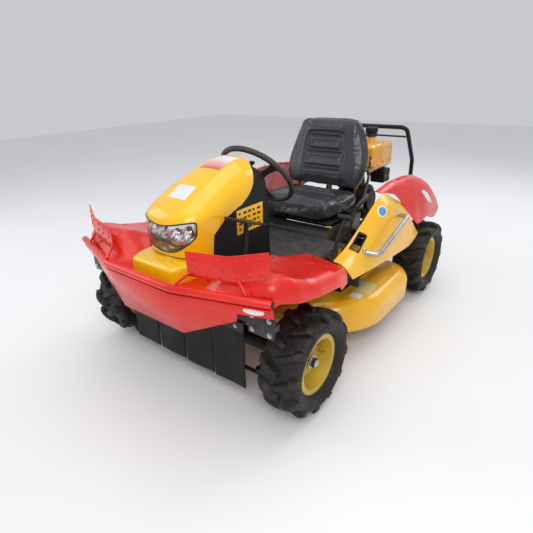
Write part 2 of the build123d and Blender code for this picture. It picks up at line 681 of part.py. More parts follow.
def deck_shell():
    """Pressed deck: domed outside, hollow below, with the spindle hole and a stiffening band."""
    outer = domed(*rounded_plan(0), 60)
    inner = Pos(0, 0, -DECK_SHEET) * domed(*rounded_plan(DECK_SHEET), 56)
    inner = inner + (Pos(0, 0, -100) * domed(*rounded_plan(DECK_SHEET), 56))
    shell = outer - inner
    return shell - rod((0, DECK_CENTRE, 200), (0, DECK_CENTRE, 300), 30)


def deck_brackets():
    """Four hanger plates on the deck that take the lift link pins."""
    result = []
    rise = LINK_L * math.sin(math.radians(LINK_TILT))
    reach = LINK_L * math.cos(math.radians(LINK_TILT))
    for pivot_d, hole_r in ((FRONT_LINK_D, 8 + RUNNING), (REAR_LINK_D, 8.5)):
        d, z = pivot_d - reach, LINK_Z + rise
        plate = side_plate([(d - 45, DECK_TOP), (d + 45, DECK_TOP), (d + 16, z + 14), (d - 16, z + 14)], 205, 213)
        foot = block(205, 245, d - 45, d + 45, DECK_TOP, DECK_TOP + 5)
        plate = plate + foot - rod((200, d, z), (250, d, z), hole_r)
        result += both(plate)
    return result


def lift_link(pivot_d):
    """Cross shaft under the rails with an arm and pin at each end."""
    tilt = math.radians(LINK_TILT)
    end_d, end_z = pivot_d - LINK_L * math.cos(tilt), LINK_Z + LINK_L * math.sin(tilt)
    shape = rod((-LINK_X - LINK_T, pivot_d, LINK_Z), (LINK_X + LINK_T, pivot_d, LINK_Z), 10)
    half = 13.0
    off_d, off_z = half * math.sin(tilt), half * math.cos(tilt)
    arm_outline = [(pivot_d - off_d, LINK_Z - off_z), (pivot_d + off_d, LINK_Z + off_z),
                   (end_d + off_d, end_z + off_z), (end_d - off_d, end_z - off_z)]
    for side in (1, -1):
        arm = side_plate(arm_outline, LINK_X, LINK_X + LINK_T)
        arm = arm + rod((LINK_X, end_d, end_z), (LINK_X + LINK_T, end_d, end_z), half)
        arm = arm + rod((LINK_X, end_d, end_z), (218, end_d, end_z), 8)
        arm = arm + rod((LINK_X, pivot_d, LINK_Z), (LINK_X + LINK_T, pivot_d, LINK_Z), half)
        shape = shape + (arm if side > 0 else other_side(arm))
    return shape


def blade_gearbox():
    """Bevel gearbox on the deck with its input pulley boss."""
    case = rod((0, DECK_CENTRE, DECK_TOP), (0, DECK_CENTRE, 318), 62)
    foot = rod((0, DECK_CENTRE, DECK_TOP), (0, DECK_CENTRE, 262), 90)
    nose = rod((0, DECK_CENTRE, 290), (-112, DECK_CENTRE, 290), 24)
    neck = rod((0, DECK_CENTRE, 215), (0, DECK_CENTRE, DECK_TOP), 29)
    return case + foot + nose + neck - rod((0, DECK_CENTRE, 210), (0, DECK_CENTRE, 302), 15 + RUNNING)


def blade():
    """Spindle, disc and straight bar with turned-up sails."""
    spindle = rod((0, DECK_CENTRE, BLADE_Z - 12), (0, DECK_CENTRE, 300), 15)
    bar = block(-BLADE_R + 3, BLADE_R - 3, DECK_CENTRE - 35, DECK_CENTRE + 35, BLADE_Z, BLADE_Z + 8)
    bar = bar & rod((0, DECK_CENTRE, BLADE_Z - 1), (0, DECK_CENTRE, BLADE_Z + 9), BLADE_R)
    disc = rod((0, DECK_CENTRE, BLADE_Z + 8), (0, DECK_CENTRE, BLADE_Z + 14), 120)
    sail = block(380, 455, DECK_CENTRE - 35, DECK_CENTRE - 31, BLADE_Z + 8, BLADE_Z + 26)
    far_sail = block(-455, -380, DECK_CENTRE + 31, DECK_CENTRE + 35, BLADE_Z + 8, BLADE_Z + 26)
    return spindle + bar + disc + sail + far_sail


# ---------------------------------------------------------------- controls
def brake_pedal():
    """Left foot pedal: serrated pad on a cranked arm, hinged on the platform."""
    pad = side_plate([(-32, 694), (74, 662), (75, 668), (-31, 701)], 160, 270)
    teeth = [block(163 + i * 12, 169 + i * 12, -36, -30, 696, 706) for i in range(9)]
    arm = side_plate([(-8, 470), (10, 470), (34, 600), (40, 674), (24, 679), (14, 602)], 204, 214)
    hub = rod((194, 1, 476), (224, 1, 476), 16)
    shape = pad + arm + hub
    for tooth in teeth:
        shape = shape + tooth
    return shape - rod((190, 1, 476), (230, 1, 476), 7 + RUNNING)


def pedal_mounts():
    """Bracket and pivot pin of each foot pedal, bolted to the floor."""
    left = block(184, 190, -22, 24, 436, 500) + block(228, 234, -22, 24, 436, 500) \
        + block(184, 234, -22, 24, 436, 440) + rod((184, 1, 476), (234, 1, 476), 7)
    return both(left)


def travel_pedal():
    """Right foot pedal that sets the travel speed, rocking both ways on its pivot."""
    treadle = side_plate([(-52, 562), (62, 528), (63, 534), (-51, 568)], -246, -164)
    arm = side_plate([(-10, 470), (12, 470), (14, 545), (-12, 552)], -214, -204)
    hub = rod((-224, 1, 476), (-194, 1, 476), 16)
    return treadle + arm + hub - rod((-230, 1, 476), (-190, 1, 476), 7 + RUNNING)


def lever_posts():
    """Bar on the outrigger with the pivot posts of the two hand levers."""
    shape = block(336, 342, 400, 585, 365, 395)
    for d in (420, 560):
        shape = shape + block(336, 342, d - 18, d + 18, 390, 430) + rod((342, d, 415), (378, d, 415), 6)
    return shape


def hand_lever(pivot_d, points, grip):
    """Flat-ended lever bent through (d, z) points, on a hub at its pivot."""
    hub = rod((343, pivot_d, 415), (373, pivot_d, 415), 13)
    stem = bent_tube([(358, d, z) for d, z in points], 6.5, 14)
    return hub + stem + grip - rod((340, pivot_d, 415), (380, pivot_d, 415), 6 + RUNNING)


def lift_lever():
    grip = rod((326, 523, 588), (390, 523, 588), 13)
    return hand_lever(420, [(420, 415), (455, 500), (523, 588)], grip)


def clutch_lever():
    grip = rod((358, 620, 604), (358, 735, 640), 11)
    return hand_lever(560, [(560, 415), (572, 520), (620, 604), (735, 640)], grip)


def ignition_key():
    tilt = -math.degrees(math.atan2(DASH_NORMAL[0], DASH_NORMAL[1]))
    x, d, z = key_axis(20)
    bow = Pos(x, fa(d), z) * Rot(tilt, 0, 0) * Box(22, 4, 18)
    return rod(key_axis(-26), key_axis(13), 6) + bow


def throttle_lever():
    stem = side_plate([(214, 800), (224, 800), (246, 838), (240, 842)], 67.5, 72.5)
    hub = rod((64, 219, 800), (76, 219, 800), 7)
    knob = rod((61, 244, 845), (79, 244, 845), 7)
    return stem + hub + knob


# ---------------------------------------------------------------- write the sub-parts
os.makedirs("parts", exist_ok=True)

node("frame", both(frame_rail()), frame_crossmembers(), hitch_plate())
node("front_axle_beam", front_axle_beam())
node("steering_knuckle_left", knuckle())
node("steering_knuckle_right", other_side(knuckle()))
node("tie_rod", tie_rod())
node("pitman_arm", pitman_arm())

front_tyre = tyre(FRONT_WHEEL_X, 0)
rear_tyre = tyre(REAR_WHEEL_X, WHEELBASE)
node("front_tyre_left", front_tyre)
node("front_tyre_right", other_side(front_tyre))
node("rear_tyre_left", rear_tyre)
node("rear_tyre_right", other_side(rear_tyre))
front_rim = rim(FRONT_WHEEL_X, 0)
rear_rim = rim(REAR_WHEEL_X, WHEELBASE, 60)
node("front_rim_left", front_rim)
node("front_rim_right", other_side(front_rim))
node("rear_rim_left", rear_rim)
node("rear_rim_right", other_side(rear_rim))

node("bumper_tube", bumper_tube())
node("bumper_skirt", bumper_skirt())
node("bumper_brackets", bumper_brackets())
node("rubber_flaps", rubber_flaps())
node("leg_guards", both(leg_guard()))
node("front_fender_left", fender_wing())
node("front_fender_right", other_side(fender_wing()))
node("front_platform", front_platform())
node("nose_box", nose_box())
node("hood", hood())
node("headlight_lens", headlight_lens())
node("headlight_reflector", headlight_reflector())
node("cowl", cowl())
node("steering_column", steering_column())
node("steering_wheel", steering_wheel())
node("floor_plate", floor_plate())
node("floor_mat", floor_mat())

node("seat_base", seat_base())
node("seat_pan", seat_pan())
node("seat_cushion", seat_cushion())
node("seat_back", seat_back())

node("side_cover_left", side_cover())
node("side_cover_right", other_side(side_cover()))
node("grab_handles", both(grab_handle()))
node("rear_fender_left", rear_fender())
node("rear_fender_right", other_side(rear_fender()))

node("engine_block", engine_block())
node("engine_shroud", engine_shroud())
node("fuel_tank", fuel_tank(), tank_bracket())
node("fuel_cap", fuel_cap())
node("air_cleaner", air_cleaner())
node("muffler", muffler())
node("rear_guard", rear_guard())
node("transaxle", transaxle())

node("deck_shell", deck_shell(), deck_brackets())
node("front_lift_link", lift_link(FRONT_LINK_D))
node("rear_lift_link", lift_link(REAR_LINK_D))
node("blade_gearbox", blade_gearbox())
node("blade", blade())

node("brake_pedal", brake_pedal())
node("travel_pedal", travel_pedal())
node("pedal_and_lever_mounts", pedal_mounts(), lever_posts())
node("lift_lever", lift_lever())
node("clutch_lever", clutch_lever())
node("ignition_key", ignition_key())
node("throttle_lever", throttle_lever())
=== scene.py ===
import json
import math

import bmesh
import bpy
import numpy as np
from mathutils import Matrix, Vector
from mathutils.bvhtree import BVHTree


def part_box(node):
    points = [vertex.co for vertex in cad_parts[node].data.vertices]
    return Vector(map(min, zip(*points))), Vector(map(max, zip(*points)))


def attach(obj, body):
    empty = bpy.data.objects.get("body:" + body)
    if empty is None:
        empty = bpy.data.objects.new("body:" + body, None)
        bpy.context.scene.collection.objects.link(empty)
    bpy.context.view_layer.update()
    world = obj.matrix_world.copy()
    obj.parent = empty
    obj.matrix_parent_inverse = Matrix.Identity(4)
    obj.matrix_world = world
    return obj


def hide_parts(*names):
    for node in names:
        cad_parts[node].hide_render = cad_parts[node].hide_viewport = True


# Ride-on brush mower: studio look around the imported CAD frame.
# Positions are written as (x, distance behind the front axle, height) in millimetres, and P() turns
# them into metres in the shared frame. Names ending in _d, and d itself, are such distances.

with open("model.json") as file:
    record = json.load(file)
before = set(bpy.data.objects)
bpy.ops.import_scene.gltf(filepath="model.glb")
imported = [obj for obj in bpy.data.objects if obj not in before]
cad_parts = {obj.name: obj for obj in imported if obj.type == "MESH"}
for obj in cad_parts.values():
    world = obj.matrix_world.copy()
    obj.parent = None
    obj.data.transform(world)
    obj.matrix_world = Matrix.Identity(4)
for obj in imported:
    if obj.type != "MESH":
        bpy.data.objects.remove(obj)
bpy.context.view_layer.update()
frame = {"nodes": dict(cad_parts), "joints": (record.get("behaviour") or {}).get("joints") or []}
JOINTS = {joint["name"]: joint for joint in frame["joints"]}
AXLE_Y = JOINTS["steer_left"]["pos_m"][1]


def P(x, d, z):
    return Vector((x / 1000, AXLE_Y + d / 1000, z / 1000))


def span(x, d, z):
    """A length along the three axes, given in millimetres."""
    return Vector((x, d, z)) / 1000


def linked(name, data):
    """A new object in the scene."""
    obj = bpy.data.objects.new(name, data)
    bpy.context.scene.collection.objects.link(obj)
    return obj


# ------------------------------------------------------------------ materials
def new_node(tree, kind, settings=None, **inputs):
    node = tree.nodes.new(kind)
    for key, value in (settings or {}).items():
        setattr(node, key, value)
    for key, value in inputs.items():
        node.inputs[key.replace("_", " ")].default_value = value
    return node


def mixed(tree, factor, first, second):
    """A colour mix of two sockets or colours by a factor socket."""
    mix = new_node(tree, "ShaderNodeMix", {"data_type": "RGBA"})
    tree.links.new(factor, mix.inputs[0])
    for slot, value in ((6, first), (7, second)):
        if isinstance(value, tuple):
            mix.inputs[slot].default_value = value
        else:
            tree.links.new(value, mix.inputs[slot])
    return mix.outputs[2]


def ranged(tree, value, low, high, out_low, out_high):
    node = new_node(tree, "ShaderNodeMapRange")
    tree.links.new(value, node.inputs[0])
    for index, number in enumerate((low, high, out_low, out_high), start=1):
        node.inputs[index].default_value = number
    return node.outputs[0]


def multiplied(tree, a, b):
    node = new_node(tree, "ShaderNodeMath", {"operation": "MULTIPLY"})
    tree.links.new(a, node.inputs[0])
    tree.links.new(b, node.inputs[1])
    return node.outputs[0]


def surface(name, base, shade, rough=(0.3, 0.4), blotch=6.0, metallic=0.0, coat=0.0, grain=500.0, bump=0.02,
            grain_kind="noise", dust=None, dust_amount=0.0, wear=None, bump_scale=None, specular=0.5):
    """Procedural finish: two-tone colour, uneven roughness, fine relief, settled dust and worn edges."""
    mat = bpy.data.materials.new(name)
    mat.use_nodes = True
    tree = mat.node_tree
    bsdf = tree.nodes["Principled BSDF"]
    bsdf.inputs["Metallic"].default_value = metallic
    bsdf.inputs["Coat Weight"].default_value = coat
    bsdf.inputs["Coat Roughness"].default_value = 0.06
    bsdf.inputs["Specular IOR Level"].default_value = specular
    where = new_node(tree, "ShaderNodeTexCoord").outputs["Object"]
    broad = new_node(tree, "ShaderNodeTexNoise", Scale=blotch, Detail=5.0, Roughness=0.6)
    tree.links.new(where, broad.inputs["Vector"])
    tone = ranged(tree, broad.outputs["Fac"], 0.35, 0.65, 0.0, 1.0)
    colour = mixed(tree, tone, (*shade, 1), (*base, 1))
    geometry = new_node(tree, "ShaderNodeNewGeometry")
    if dust is not None:
        facing = new_node(tree, "ShaderNodeSeparateXYZ")
        tree.links.new(geometry.outputs["Normal"], facing.inputs[0])
        up = ranged(tree, facing.outputs["Z"], -0.2, 1.0, 0.25, 1.0)
        speck = new_node(tree, "ShaderNodeTexNoise", Scale=blotch * 6, Detail=8.0, Roughness=0.7)
        tree.links.new(where, speck.inputs["Vector"])
        speckle = ranged(tree, speck.outputs["Fac"], 0.42, 0.72, 0.0, dust_amount)
        colour = mixed(tree, multiplied(tree, up, speckle), colour, (*dust, 1))
    if wear is not None:
        edge = ranged(tree, geometry.outputs["Pointiness"], 0.53, 0.60, 0.0, 0.8)
        colour = mixed(tree, multiplied(tree, edge, tone), colour, (*wear, 1))
    tree.links.new(colour, bsdf.inputs["Base Color"])
    smudge = new_node(tree, "ShaderNodeTexNoise", Scale=blotch * 3.1, Detail=6.0, Roughness=0.65)
    tree.links.new(where, smudge.inputs["Vector"])
    tree.links.new(ranged(tree, smudge.outputs["Fac"], 0.3, 0.7, *rough), bsdf.inputs["Roughness"])
    if grain_kind == "cells":
        fine = new_node(tree, "ShaderNodeTexVoronoi", {"feature": "DISTANCE_TO_EDGE"}, Scale=grain)
        relief = ranged(tree, fine.outputs["Distance"], 0.0, 0.25, 0.0, 1.0)
    else:
        fine = new_node(tree, "ShaderNodeTexNoise", Scale=grain, Detail=4.0, Roughness=0.55)
        relief = fine.outputs["Fac"]
    stretch = bump_scale or (1.0, 1.0, 1.0)
    mapping = new_node(tree, "ShaderNodeMapping", Scale=stretch)
    tree.links.new(where, mapping.inputs["Vector"])
    tree.links.new(mapping.outputs[0], fine.inputs["Vector"])
    lift = new_node(tree, "ShaderNodeBump", Strength=bump, Distance=0.002)
    tree.links.new(relief, lift.inputs["Height"])
    tree.links.new(lift.outputs[0], bsdf.inputs["Normal"])
    return mat


DUST = (0.30, 0.22, 0.13)
RED = surface("red_paint", (0.80, 0.016, 0.004), (0.68, 0.008, 0.003), (0.20, 0.32), coat=0.15,
              bump=0.012, grain=260, dust=DUST, dust_amount=0.02)
YELLOW = surface("yellow_shell", (0.96, 0.56, 0.002), (0.93, 0.51, 0.002), (0.18, 0.28), coat=0.5,
                 bump=0.012, grain=240, dust=DUST, dust_amount=0.02)
COVER_YELLOW = surface("cover_yellow", (0.93, 0.50, 0.002), (0.88, 0.45, 0.002), (0.18, 0.30), coat=0.5,
                       bump=0.014, grain=240, dust=DUST, dust_amount=0.04)
DECK_YELLOW = surface("deck_yellow", (0.92, 0.49, 0.002), (0.86, 0.42, 0.002), (0.2, 0.34), coat=0.45,
                      bump=0.03, grain=160, dust=DUST, dust_amount=0.08, wear=(0.35, 0.26, 0.16))
GOLD = surface("rim_gold", (0.66, 0.45, 0.03), (0.50, 0.32, 0.02), (0.28, 0.5), coat=0.3, bump=0.04,
               grain=180, dust=DUST, dust_amount=0.35, wear=(0.40, 0.33, 0.22))
ORANGE = surface("tank_orange", (0.92, 0.42, 0.006), (0.85, 0.36, 0.005), (0.18, 0.32), coat=0.5,
                 bump=0.02, grain=200, dust=DUST, dust_amount=0.15)
# Deck bracket paint: the brackets are yellow, and this darker orange-brown is painted shade for where they sit in
# shade between the front body and the deck; its dust and worn edges are real dirt.
BRACKET_PAINTED_SHADE = surface("bracket_painted_shade", (0.52, 0.20, 0.03), (0.36, 0.12, 0.02), (0.35, 0.6), coat=0.2, bump=0.08,
               grain=120, dust=DUST, dust_amount=0.4, wear=(0.30, 0.24, 0.18))
BLACK = surface("black_paint", (0.010, 0.010, 0.011), (0.006, 0.006, 0.007), (0.30, 0.48), bump=0.05,
                grain=220, dust=DUST, dust_amount=0.03, wear=(0.14, 0.13, 0.12), specular=0.35)
PLASTIC = surface("black_plastic", (0.012, 0.012, 0.013), (0.008, 0.008, 0.009), (0.42, 0.62), bump=0.16,
                  grain=900, grain_kind="cells", dust=DUST, dust_amount=0.02, specular=0.3)
GRIP = surface("grip_plastic", (0.045, 0.038, 0.034), (0.028, 0.024, 0.022), (0.36, 0.52), bump=0.2, grain=700,
               grain_kind="cells", dust=DUST, dust_amount=0.12)
RUBBER = surface("rubber_sheet", (0.010, 0.010, 0.011), (0.006, 0.006, 0.007), (0.45, 0.65), bump=0.06,
                 grain=160, dust=DUST, dust_amount=0.02, specular=0.25)
TYRE = surface("tyre_rubber", (0.016, 0.014, 0.013), (0.008, 0.007, 0.007), (0.42, 0.7), blotch=9, bump=0.18,
               grain=140, dust=(0.20, 0.15, 0.10), dust_amount=0.18, wear=(0.10, 0.08, 0.06), specular=0.35)
VINYL = surface("seat_vinyl", (0.040, 0.044, 0.052), (0.028, 0.031, 0.038), (0.24, 0.34), bump=0.05,
                grain=520, grain_kind="cells", dust=DUST, dust_amount=0.02)
CASTING = surface("engine_black", (0.030, 0.029, 0.028), (0.016, 0.016, 0.016), (0.4, 0.65), metallic=0.3,
                  bump=0.35, grain=300, dust=DUST, dust_amount=0.4, wear=(0.22, 0.21, 0.19))
ZINC = surface("zinc", (0.62, 0.60, 0.56), (0.45, 0.44, 0.42), (0.22, 0.42), metallic=1.0, bump=0.06, grain=500,
               dust=DUST, dust_amount=0.25)
CHROME = surface("bright_tube", (0.80, 0.79, 0.77), (0.68, 0.67, 0.66), (0.10, 0.24), metallic=1.0, bump=0.015,
                 grain=400, bump_scale=(1.0, 0.15, 1.0))
MIRROR = surface("reflector_chrome", (0.90, 0.90, 0.91), (0.80, 0.80, 0.82), (0.04, 0.12), metallic=1.0,
                 bump=0.01, grain=300)
STEEL = surface("blade_steel", (0.36, 0.33, 0.30), (0.22, 0.18, 0.15), (0.3, 0.55), metallic=0.9, bump=0.2,
                grain=150, dust=(0.20, 0.10, 0.05), dust_amount=0.5)
BRASS = surface("brass", (0.62, 0.42, 0.12), (0.45, 0.30, 0.09), (0.25, 0.4), metallic=1.0, bump=0.04)
EXHAUST = surface("muffler_steel", (0.16, 0.14, 0.13), (0.08, 0.065, 0.06), (0.45, 0.7), metallic=0.7, bump=0.2,
                  grain=200, dust=(0.22, 0.09, 0.04), dust_amount=0.6)
MAT = surface("floor_mat", (0.030, 0.034, 0.040), (0.018, 0.020, 0.024), (0.45, 0.65), bump=0.5, grain=150,
              grain_kind="cells", dust=DUST, dust_amount=0.3, bump_scale=(1.0, 0.25, 1.0))
WHITE = surface("label_white", (0.85, 0.85, 0.84), (0.76, 0.76, 0.75), (0.25, 0.35), bump=0.01, coat=0.3)
PALE = surface("label_pale", (0.80, 0.66, 0.30), (0.70, 0.55, 0.20), (0.3, 0.4), bump=0.01, coat=0.2)
BLUE = surface("label_blue", (0.05, 0.33, 0.62), (0.04, 0.27, 0.55), (0.25, 0.35), bump=0.01, coat=0.3)
SEAL = surface("seal_black", (0.012, 0.012, 0.013), (0.008, 0.008, 0.009), (0.3, 0.45), bump=0.05)


def glass(name):
    mat = bpy.data.materials.new(name)
    mat.use_nodes = True
    tree = mat.node_tree
    bsdf = tree.nodes["Principled BSDF"]
    bsdf.inputs["Transmission Weight"].default_value = 0.96
    bsdf.inputs["IOR"].default_value = 1.35
    where = new_node(tree, "ShaderNodeTexCoord").outputs["Object"]
    haze = new_node(tree, "ShaderNodeTexNoise", Scale=30.0, Detail=5.0)
    tree.links.new(where, haze.inputs["Vector"])
    tree.links.new(ranged(tree, haze.outputs["Fac"], 0.3, 0.8, 0.0, 0.08), bsdf.inputs["Roughness"])
    tree.links.new(mixed(tree, haze.outputs["Fac"], (0.95, 0.97, 0.98, 1), (0.90, 0.93, 0.95, 1)),
                   bsdf.inputs["Base Color"])
    return mat


GLASS = glass("lens_clear")


def gradient_label(name, low, high, start, end):
    """A printed patch whose colour runs along the machine from start to end, in metres."""
    mat = surface(name, high, high, (0.2, 0.3), bump=0.01, coat=0.4)
    tree = mat.node_tree
    bsdf = tree.nodes["Principled BSDF"]
    where = new_node(tree, "ShaderNodeTexCoord").outputs["Object"]
    split = new_node(tree, "ShaderNodeSeparateXYZ")
    tree.links.new(where, split.inputs[0])
    run = ranged(tree, split.outputs["Y"], start, end, 0.0, 1.0)
    tree.links.new(mixed(tree, run, (*low, 1), (*high, 1)), bsdf.inputs["Base Color"])
    return mat


# ------------------------------------------------------------------ mesh helpers
def smooth_shade(mesh, sharp):
    """Smooth shading, with sharp edges where faces meet at more than the given angle in degrees."""
    mesh.polygons.foreach_set("use_smooth", [True] * len(mesh.polygons))
    mesh.set_sharp_from_angle(angle=math.radians(sharp))


def piece(name, verts, faces, material, body, replaces=(), slot=None, sharp=35.0):
    """A new visible piece that rides on a body, and may replace CAD nodes."""
    mesh = bpy.data.meshes.new(name)
    mesh.from_pydata([tuple(v) for v in verts], [], faces)
    tidy = bmesh.new()
    tidy.from_mesh(mesh)
    bmesh.ops.remove_doubles(tidy, verts=tidy.verts, dist=1e-5)
    bmesh.ops.recalc_face_normals(tidy, faces=tidy.faces)
    tidy.to_mesh(mesh)
    tidy.free()
    smooth_shade(mesh, sharp)
    mesh.materials.append(material)
    obj = linked(name, mesh)
    if replaces:
        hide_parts(*replaces)
    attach(obj, body)
    return obj


def bake(obj, sharp=35.0):
    """Replaces the object's mesh by the result of its modifiers."""
    bpy.context.view_layer.update()
    graph = bpy.context.evaluated_depsgraph_get()
    mesh = bpy.data.meshes.new_from_object(obj.evaluated_get(graph))
    obj.modifiers.clear()
    obj.data = mesh
    smooth_shade(mesh, sharp)
    return obj


def bevel(obj, width, segments=3, angle=40.0):
    mod = obj.modifiers.new("bevel", "BEVEL")
    mod.width = width / 1000
    mod.segments = segments
    mod.limit_method = "ANGLE"
    mod.angle_limit = math.radians(angle)
    mod.harden_normals = False
    return obj


def thicken(obj, thickness):
    mod = obj.modifiers.new("thick", "SOLIDIFY")
    mod.thickness = thickness / 1000
    mod.offset = -1.0
    return obj


def cut(obj, cutter_verts, cutter_faces, keep=False):
    """Cuts a closed form out of the object, or keeps only what is inside it."""
    mesh = bpy.data.meshes.new("cutter")
    mesh.from_pydata([tuple(v) for v in cutter_verts], [], cutter_faces)
    work = bmesh.new()
    work.from_mesh(mesh)
    bmesh.ops.recalc_face_normals(work, faces=work.faces)
    work.to_mesh(mesh)
    work.free()
    tool = linked("cutter", mesh)
    mod = obj.modifiers.new("cut", "BOOLEAN")
    mod.operation = "INTERSECT" if keep else "DIFFERENCE"
    mod.solver = "EXACT"
    mod.object = tool
    bake(obj)
    bpy.data.objects.remove(tool)
    return obj


def grid_faces(rows, cols, wrap_cols=False, wrap_rows=False):
    faces = []
    for i in range(rows if wrap_rows else rows - 1):
        for j in range(cols if wrap_cols else cols - 1):
            a = i * cols + j
            b = i * cols + (j + 1) % cols
            c = ((i + 1) % rows) * cols + (j + 1) % cols
            d = ((i + 1) % rows) * cols + j
            faces.append((a, b, c, d))
    return faces


def smooth_rows(rows, steps):
    """Catmull-Rom interpolation through rows of numbers, with the given steps between neighbours."""
    data = np.array(rows, float)
    padded = np.concatenate([[2 * data[0] - data[1]], data, [2 * data[-1] - data[-2]]])
    result = []
    for i in range(1, len(padded) - 2):
        p0, p1, p2, p3 = padded[i - 1:i + 3]
        for s in range(steps):
            t = s / steps
            result.append(0.5 * (2 * p1 + (p2 - p0) * t + (2 * p0 - 5 * p1 + 4 * p2 - p3) * t ** 2
                                 + (3 * p1 - p0 - 3 * p2 + p3) * t ** 3))
    result.append(padded[-2])
    return np.array(result)


def prism(outline, depth):
    """Closed form from a planar outline of points, swept by a vector."""
    count = len(outline)
    verts = list(outline) + [v + depth for v in outline]
    faces = [tuple(range(count)), tuple(range(2 * count - 1, count - 1, -1))]
    faces += [(i, (i + 1) % count, count + (i + 1) % count, count + i) for i in range(count)]
    return verts, faces


def swept(points, radius, sides=14, closed=False, flat=1.0):
    """Tube through points, with its section flattened by the given factor."""
    points = [Vector(p) for p in points]
    count = len(points)
    verts = []
    side = None
    for i, p in enumerate(points):
        before = points[i - 1] if (i > 0 or closed) else p
        after = points[(i + 1) % count] if (i < count - 1 or closed) else p
        along = (after - before).normalized()
        if side is None:
            side = along.orthogonal().normalized()
        side = (side - along * side.dot(along)).normalized()
        up = along.cross(side)
        for k in range(sides):
            turn = 2 * math.pi * k / sides
            verts.append(p + (side * math.cos(turn) + up * math.sin(turn) * flat) * radius / 1000)
    faces = grid_faces(count, sides, wrap_cols=True, wrap_rows=closed)
    if not closed:
        faces.append(tuple(range(sides - 1, -1, -1)))
        faces.append(tuple(range((count - 1) * sides, count * sides)))
    return verts, faces


def lathe(profile, origin, axis, segments=48):
    """Revolves (along, radius) points, in millimetres, about an axis through the origin."""
    axis = Vector(axis).normalized()
    side = axis.orthogonal().normalized()
    up = axis.cross(side)
    verts = []
    for along, radius in profile:
        for k in range(segments):
            turn = 2 * math.pi * k / segments
            out = side * math.cos(turn) + up * math.sin(turn)
            verts.append(Vector(origin) + (axis * along + out * max(radius, 0.01)) / 1000)
    faces = grid_faces(len(profile), segments, wrap_cols=True)
    return verts, faces


def signed_power(value, power):
    return math.copysign(abs(value) ** power, value)


def merged(parts):
    """Joins several (verts, faces) pairs into one."""
    verts, faces = [], []
    for part_verts, part_faces in parts:
        shift = len(verts)
        verts += list(part_verts)
        faces += [tuple(i + shift for i in face) for face in part_faces]
    return verts, faces


def flipped(part):
    """The mirror image of a (verts, faces) pair on the machine's other side."""
    verts, faces = part
    return [Vector((-v[0], v[1], v[2])) for v in verts], [tuple(reversed(face)) for face in faces]


def on_side(part, side):
    """A (verts, faces) pair made for the left side, kept there for side 1 and mirrored for side -1."""
    return part if side > 0 else flipped(part)


def tree_of(obj):
    """Ray-cast tree of an object's final shape, in the shared frame."""
    bpy.context.view_layer.update()
    return BVHTree.FromObject(obj, bpy.context.evaluated_depsgraph_get())


def decal(name, grid, target, direction, material, body, slot, lift=0.5):
    """A thin printed patch laid on a target, from (start points, columns) cast along a direction."""
    starts, columns = grid
    verts = []
    for start in starts:
        hit, normal, _, _ = target.ray_cast(start, Vector(direction).normalized())
        if hit is None:
            hit, normal, _, _ = target.find_nearest(start)
        if normal.dot(Vector(direction)) > 0:
            normal = -normal
        verts.append(hit + normal * lift / 1000)
    faces = grid_faces(len(starts) // columns, columns)
    return piece(name, verts, faces, material, body, slot=slot, sharp=80)


def rectangle(corner, side_a, side_b, count_a, count_b):
    """Start points of a rectangular grid from one corner along two vectors, and its columns."""
    starts = [corner + side_a * (i / (count_a - 1)) + side_b * (j / (count_b - 1))
              for i in range(count_a) for j in range(count_b)]
    return starts, count_b


def oval(centre, side_a, side_b, rings=5, segments=28):
    """Start points of an oval, and its columns: each ring closes on its first point."""
    starts = []
    for i in range(rings):
        share = max(0.02, i / (rings - 1))
        for j in range(segments + 1):
            turn = 2 * math.pi * j / segments
            starts.append(centre + (side_a * math.cos(turn) + side_b * math.sin(turn)) * share)
    return starts, segments + 1


def hex_bolt(point, normal, radius=7.0):
    """Washer, hexagonal head and a domed top, standing on a surface."""
    normal = Vector(normal).normalized()
    washer = lathe([(0, 0.01), (0, radius * 1.45), (radius * 0.22, radius * 1.45), (radius * 0.22, 0.01)],
                   point, normal, 24)
    head = lathe([(0, radius), (radius * 0.62, radius), (radius * 0.78, radius * 0.82), (radius * 0.80, 0.01)],
                 point + normal * radius * 0.00022, normal, 6)
    return merged([washer, head])


def bolts(name, places, radius, body):
    """Zinc bolts at (point, normal) places."""
    parts = [hex_bolt(point, normal, radius) for point, normal in places]
    return piece(name, *merged(parts), ZINC, body, slot="bright_steel", sharp=30)


WELD_DISTANCE = 0.00002
CAD_EDGE_MM = 0.8


def finish_cad(node, material):
    """Gives a CAD node its finish and slightly rounded edges."""
    obj = frame["nodes"][node]
    obj.data.materials.clear()
    obj.data.materials.append(material)
    weld = obj.modifiers.new("weld", "WELD")
    weld.merge_threshold = WELD_DISTANCE
    bevel(obj, CAD_EDGE_MM, segments=2, angle=35.0)
    smooth_shade(obj.data, 35.0)


CAD_FINISH = {
    "black": (BLACK, ["frame", "front_axle_beam", "steering_knuckle_left", "steering_knuckle_right", "tie_rod",
                      "pitman_arm", "bumper_brackets", "steering_column", "floor_plate", "seat_base", "seat_pan",
                      "rear_guard", "front_lift_link", "rear_lift_link", "brake_pedal", "travel_pedal",
                      "pedal_and_lever_mounts"]),
    "red": (RED, ["bumper_tube", "bumper_skirt", "leg_guards"]),
    "gold": (GOLD, ["front_rim_left", "front_rim_right", "rear_rim_left", "rear_rim_right"]),
    "plastic": (PLASTIC, ["cowl", "engine_shroud", "air_cleaner", "fuel_cap", "throttle_lever"]),
    "grip": (GRIP, ["steering_wheel"]),
    "mat": (MAT, ["floor_mat"]),
    "casting": (CASTING, ["engine_block", "transaxle", "blade_gearbox"]),
    "exhaust": (EXHAUST, ["muffler"]),
    "handle": (ZINC, ["grab_handles"]),
    "levers": (BLACK, ["lift_lever", "clutch_lever"]),
    "chrome": (CHROME, ["ignition_key"]),
    "steel": (STEEL, ["blade"]),
    "deck": (DECK_YELLOW, ["deck_shell"]),
    "tank": (ORANGE, ["fuel_tank"]),
}
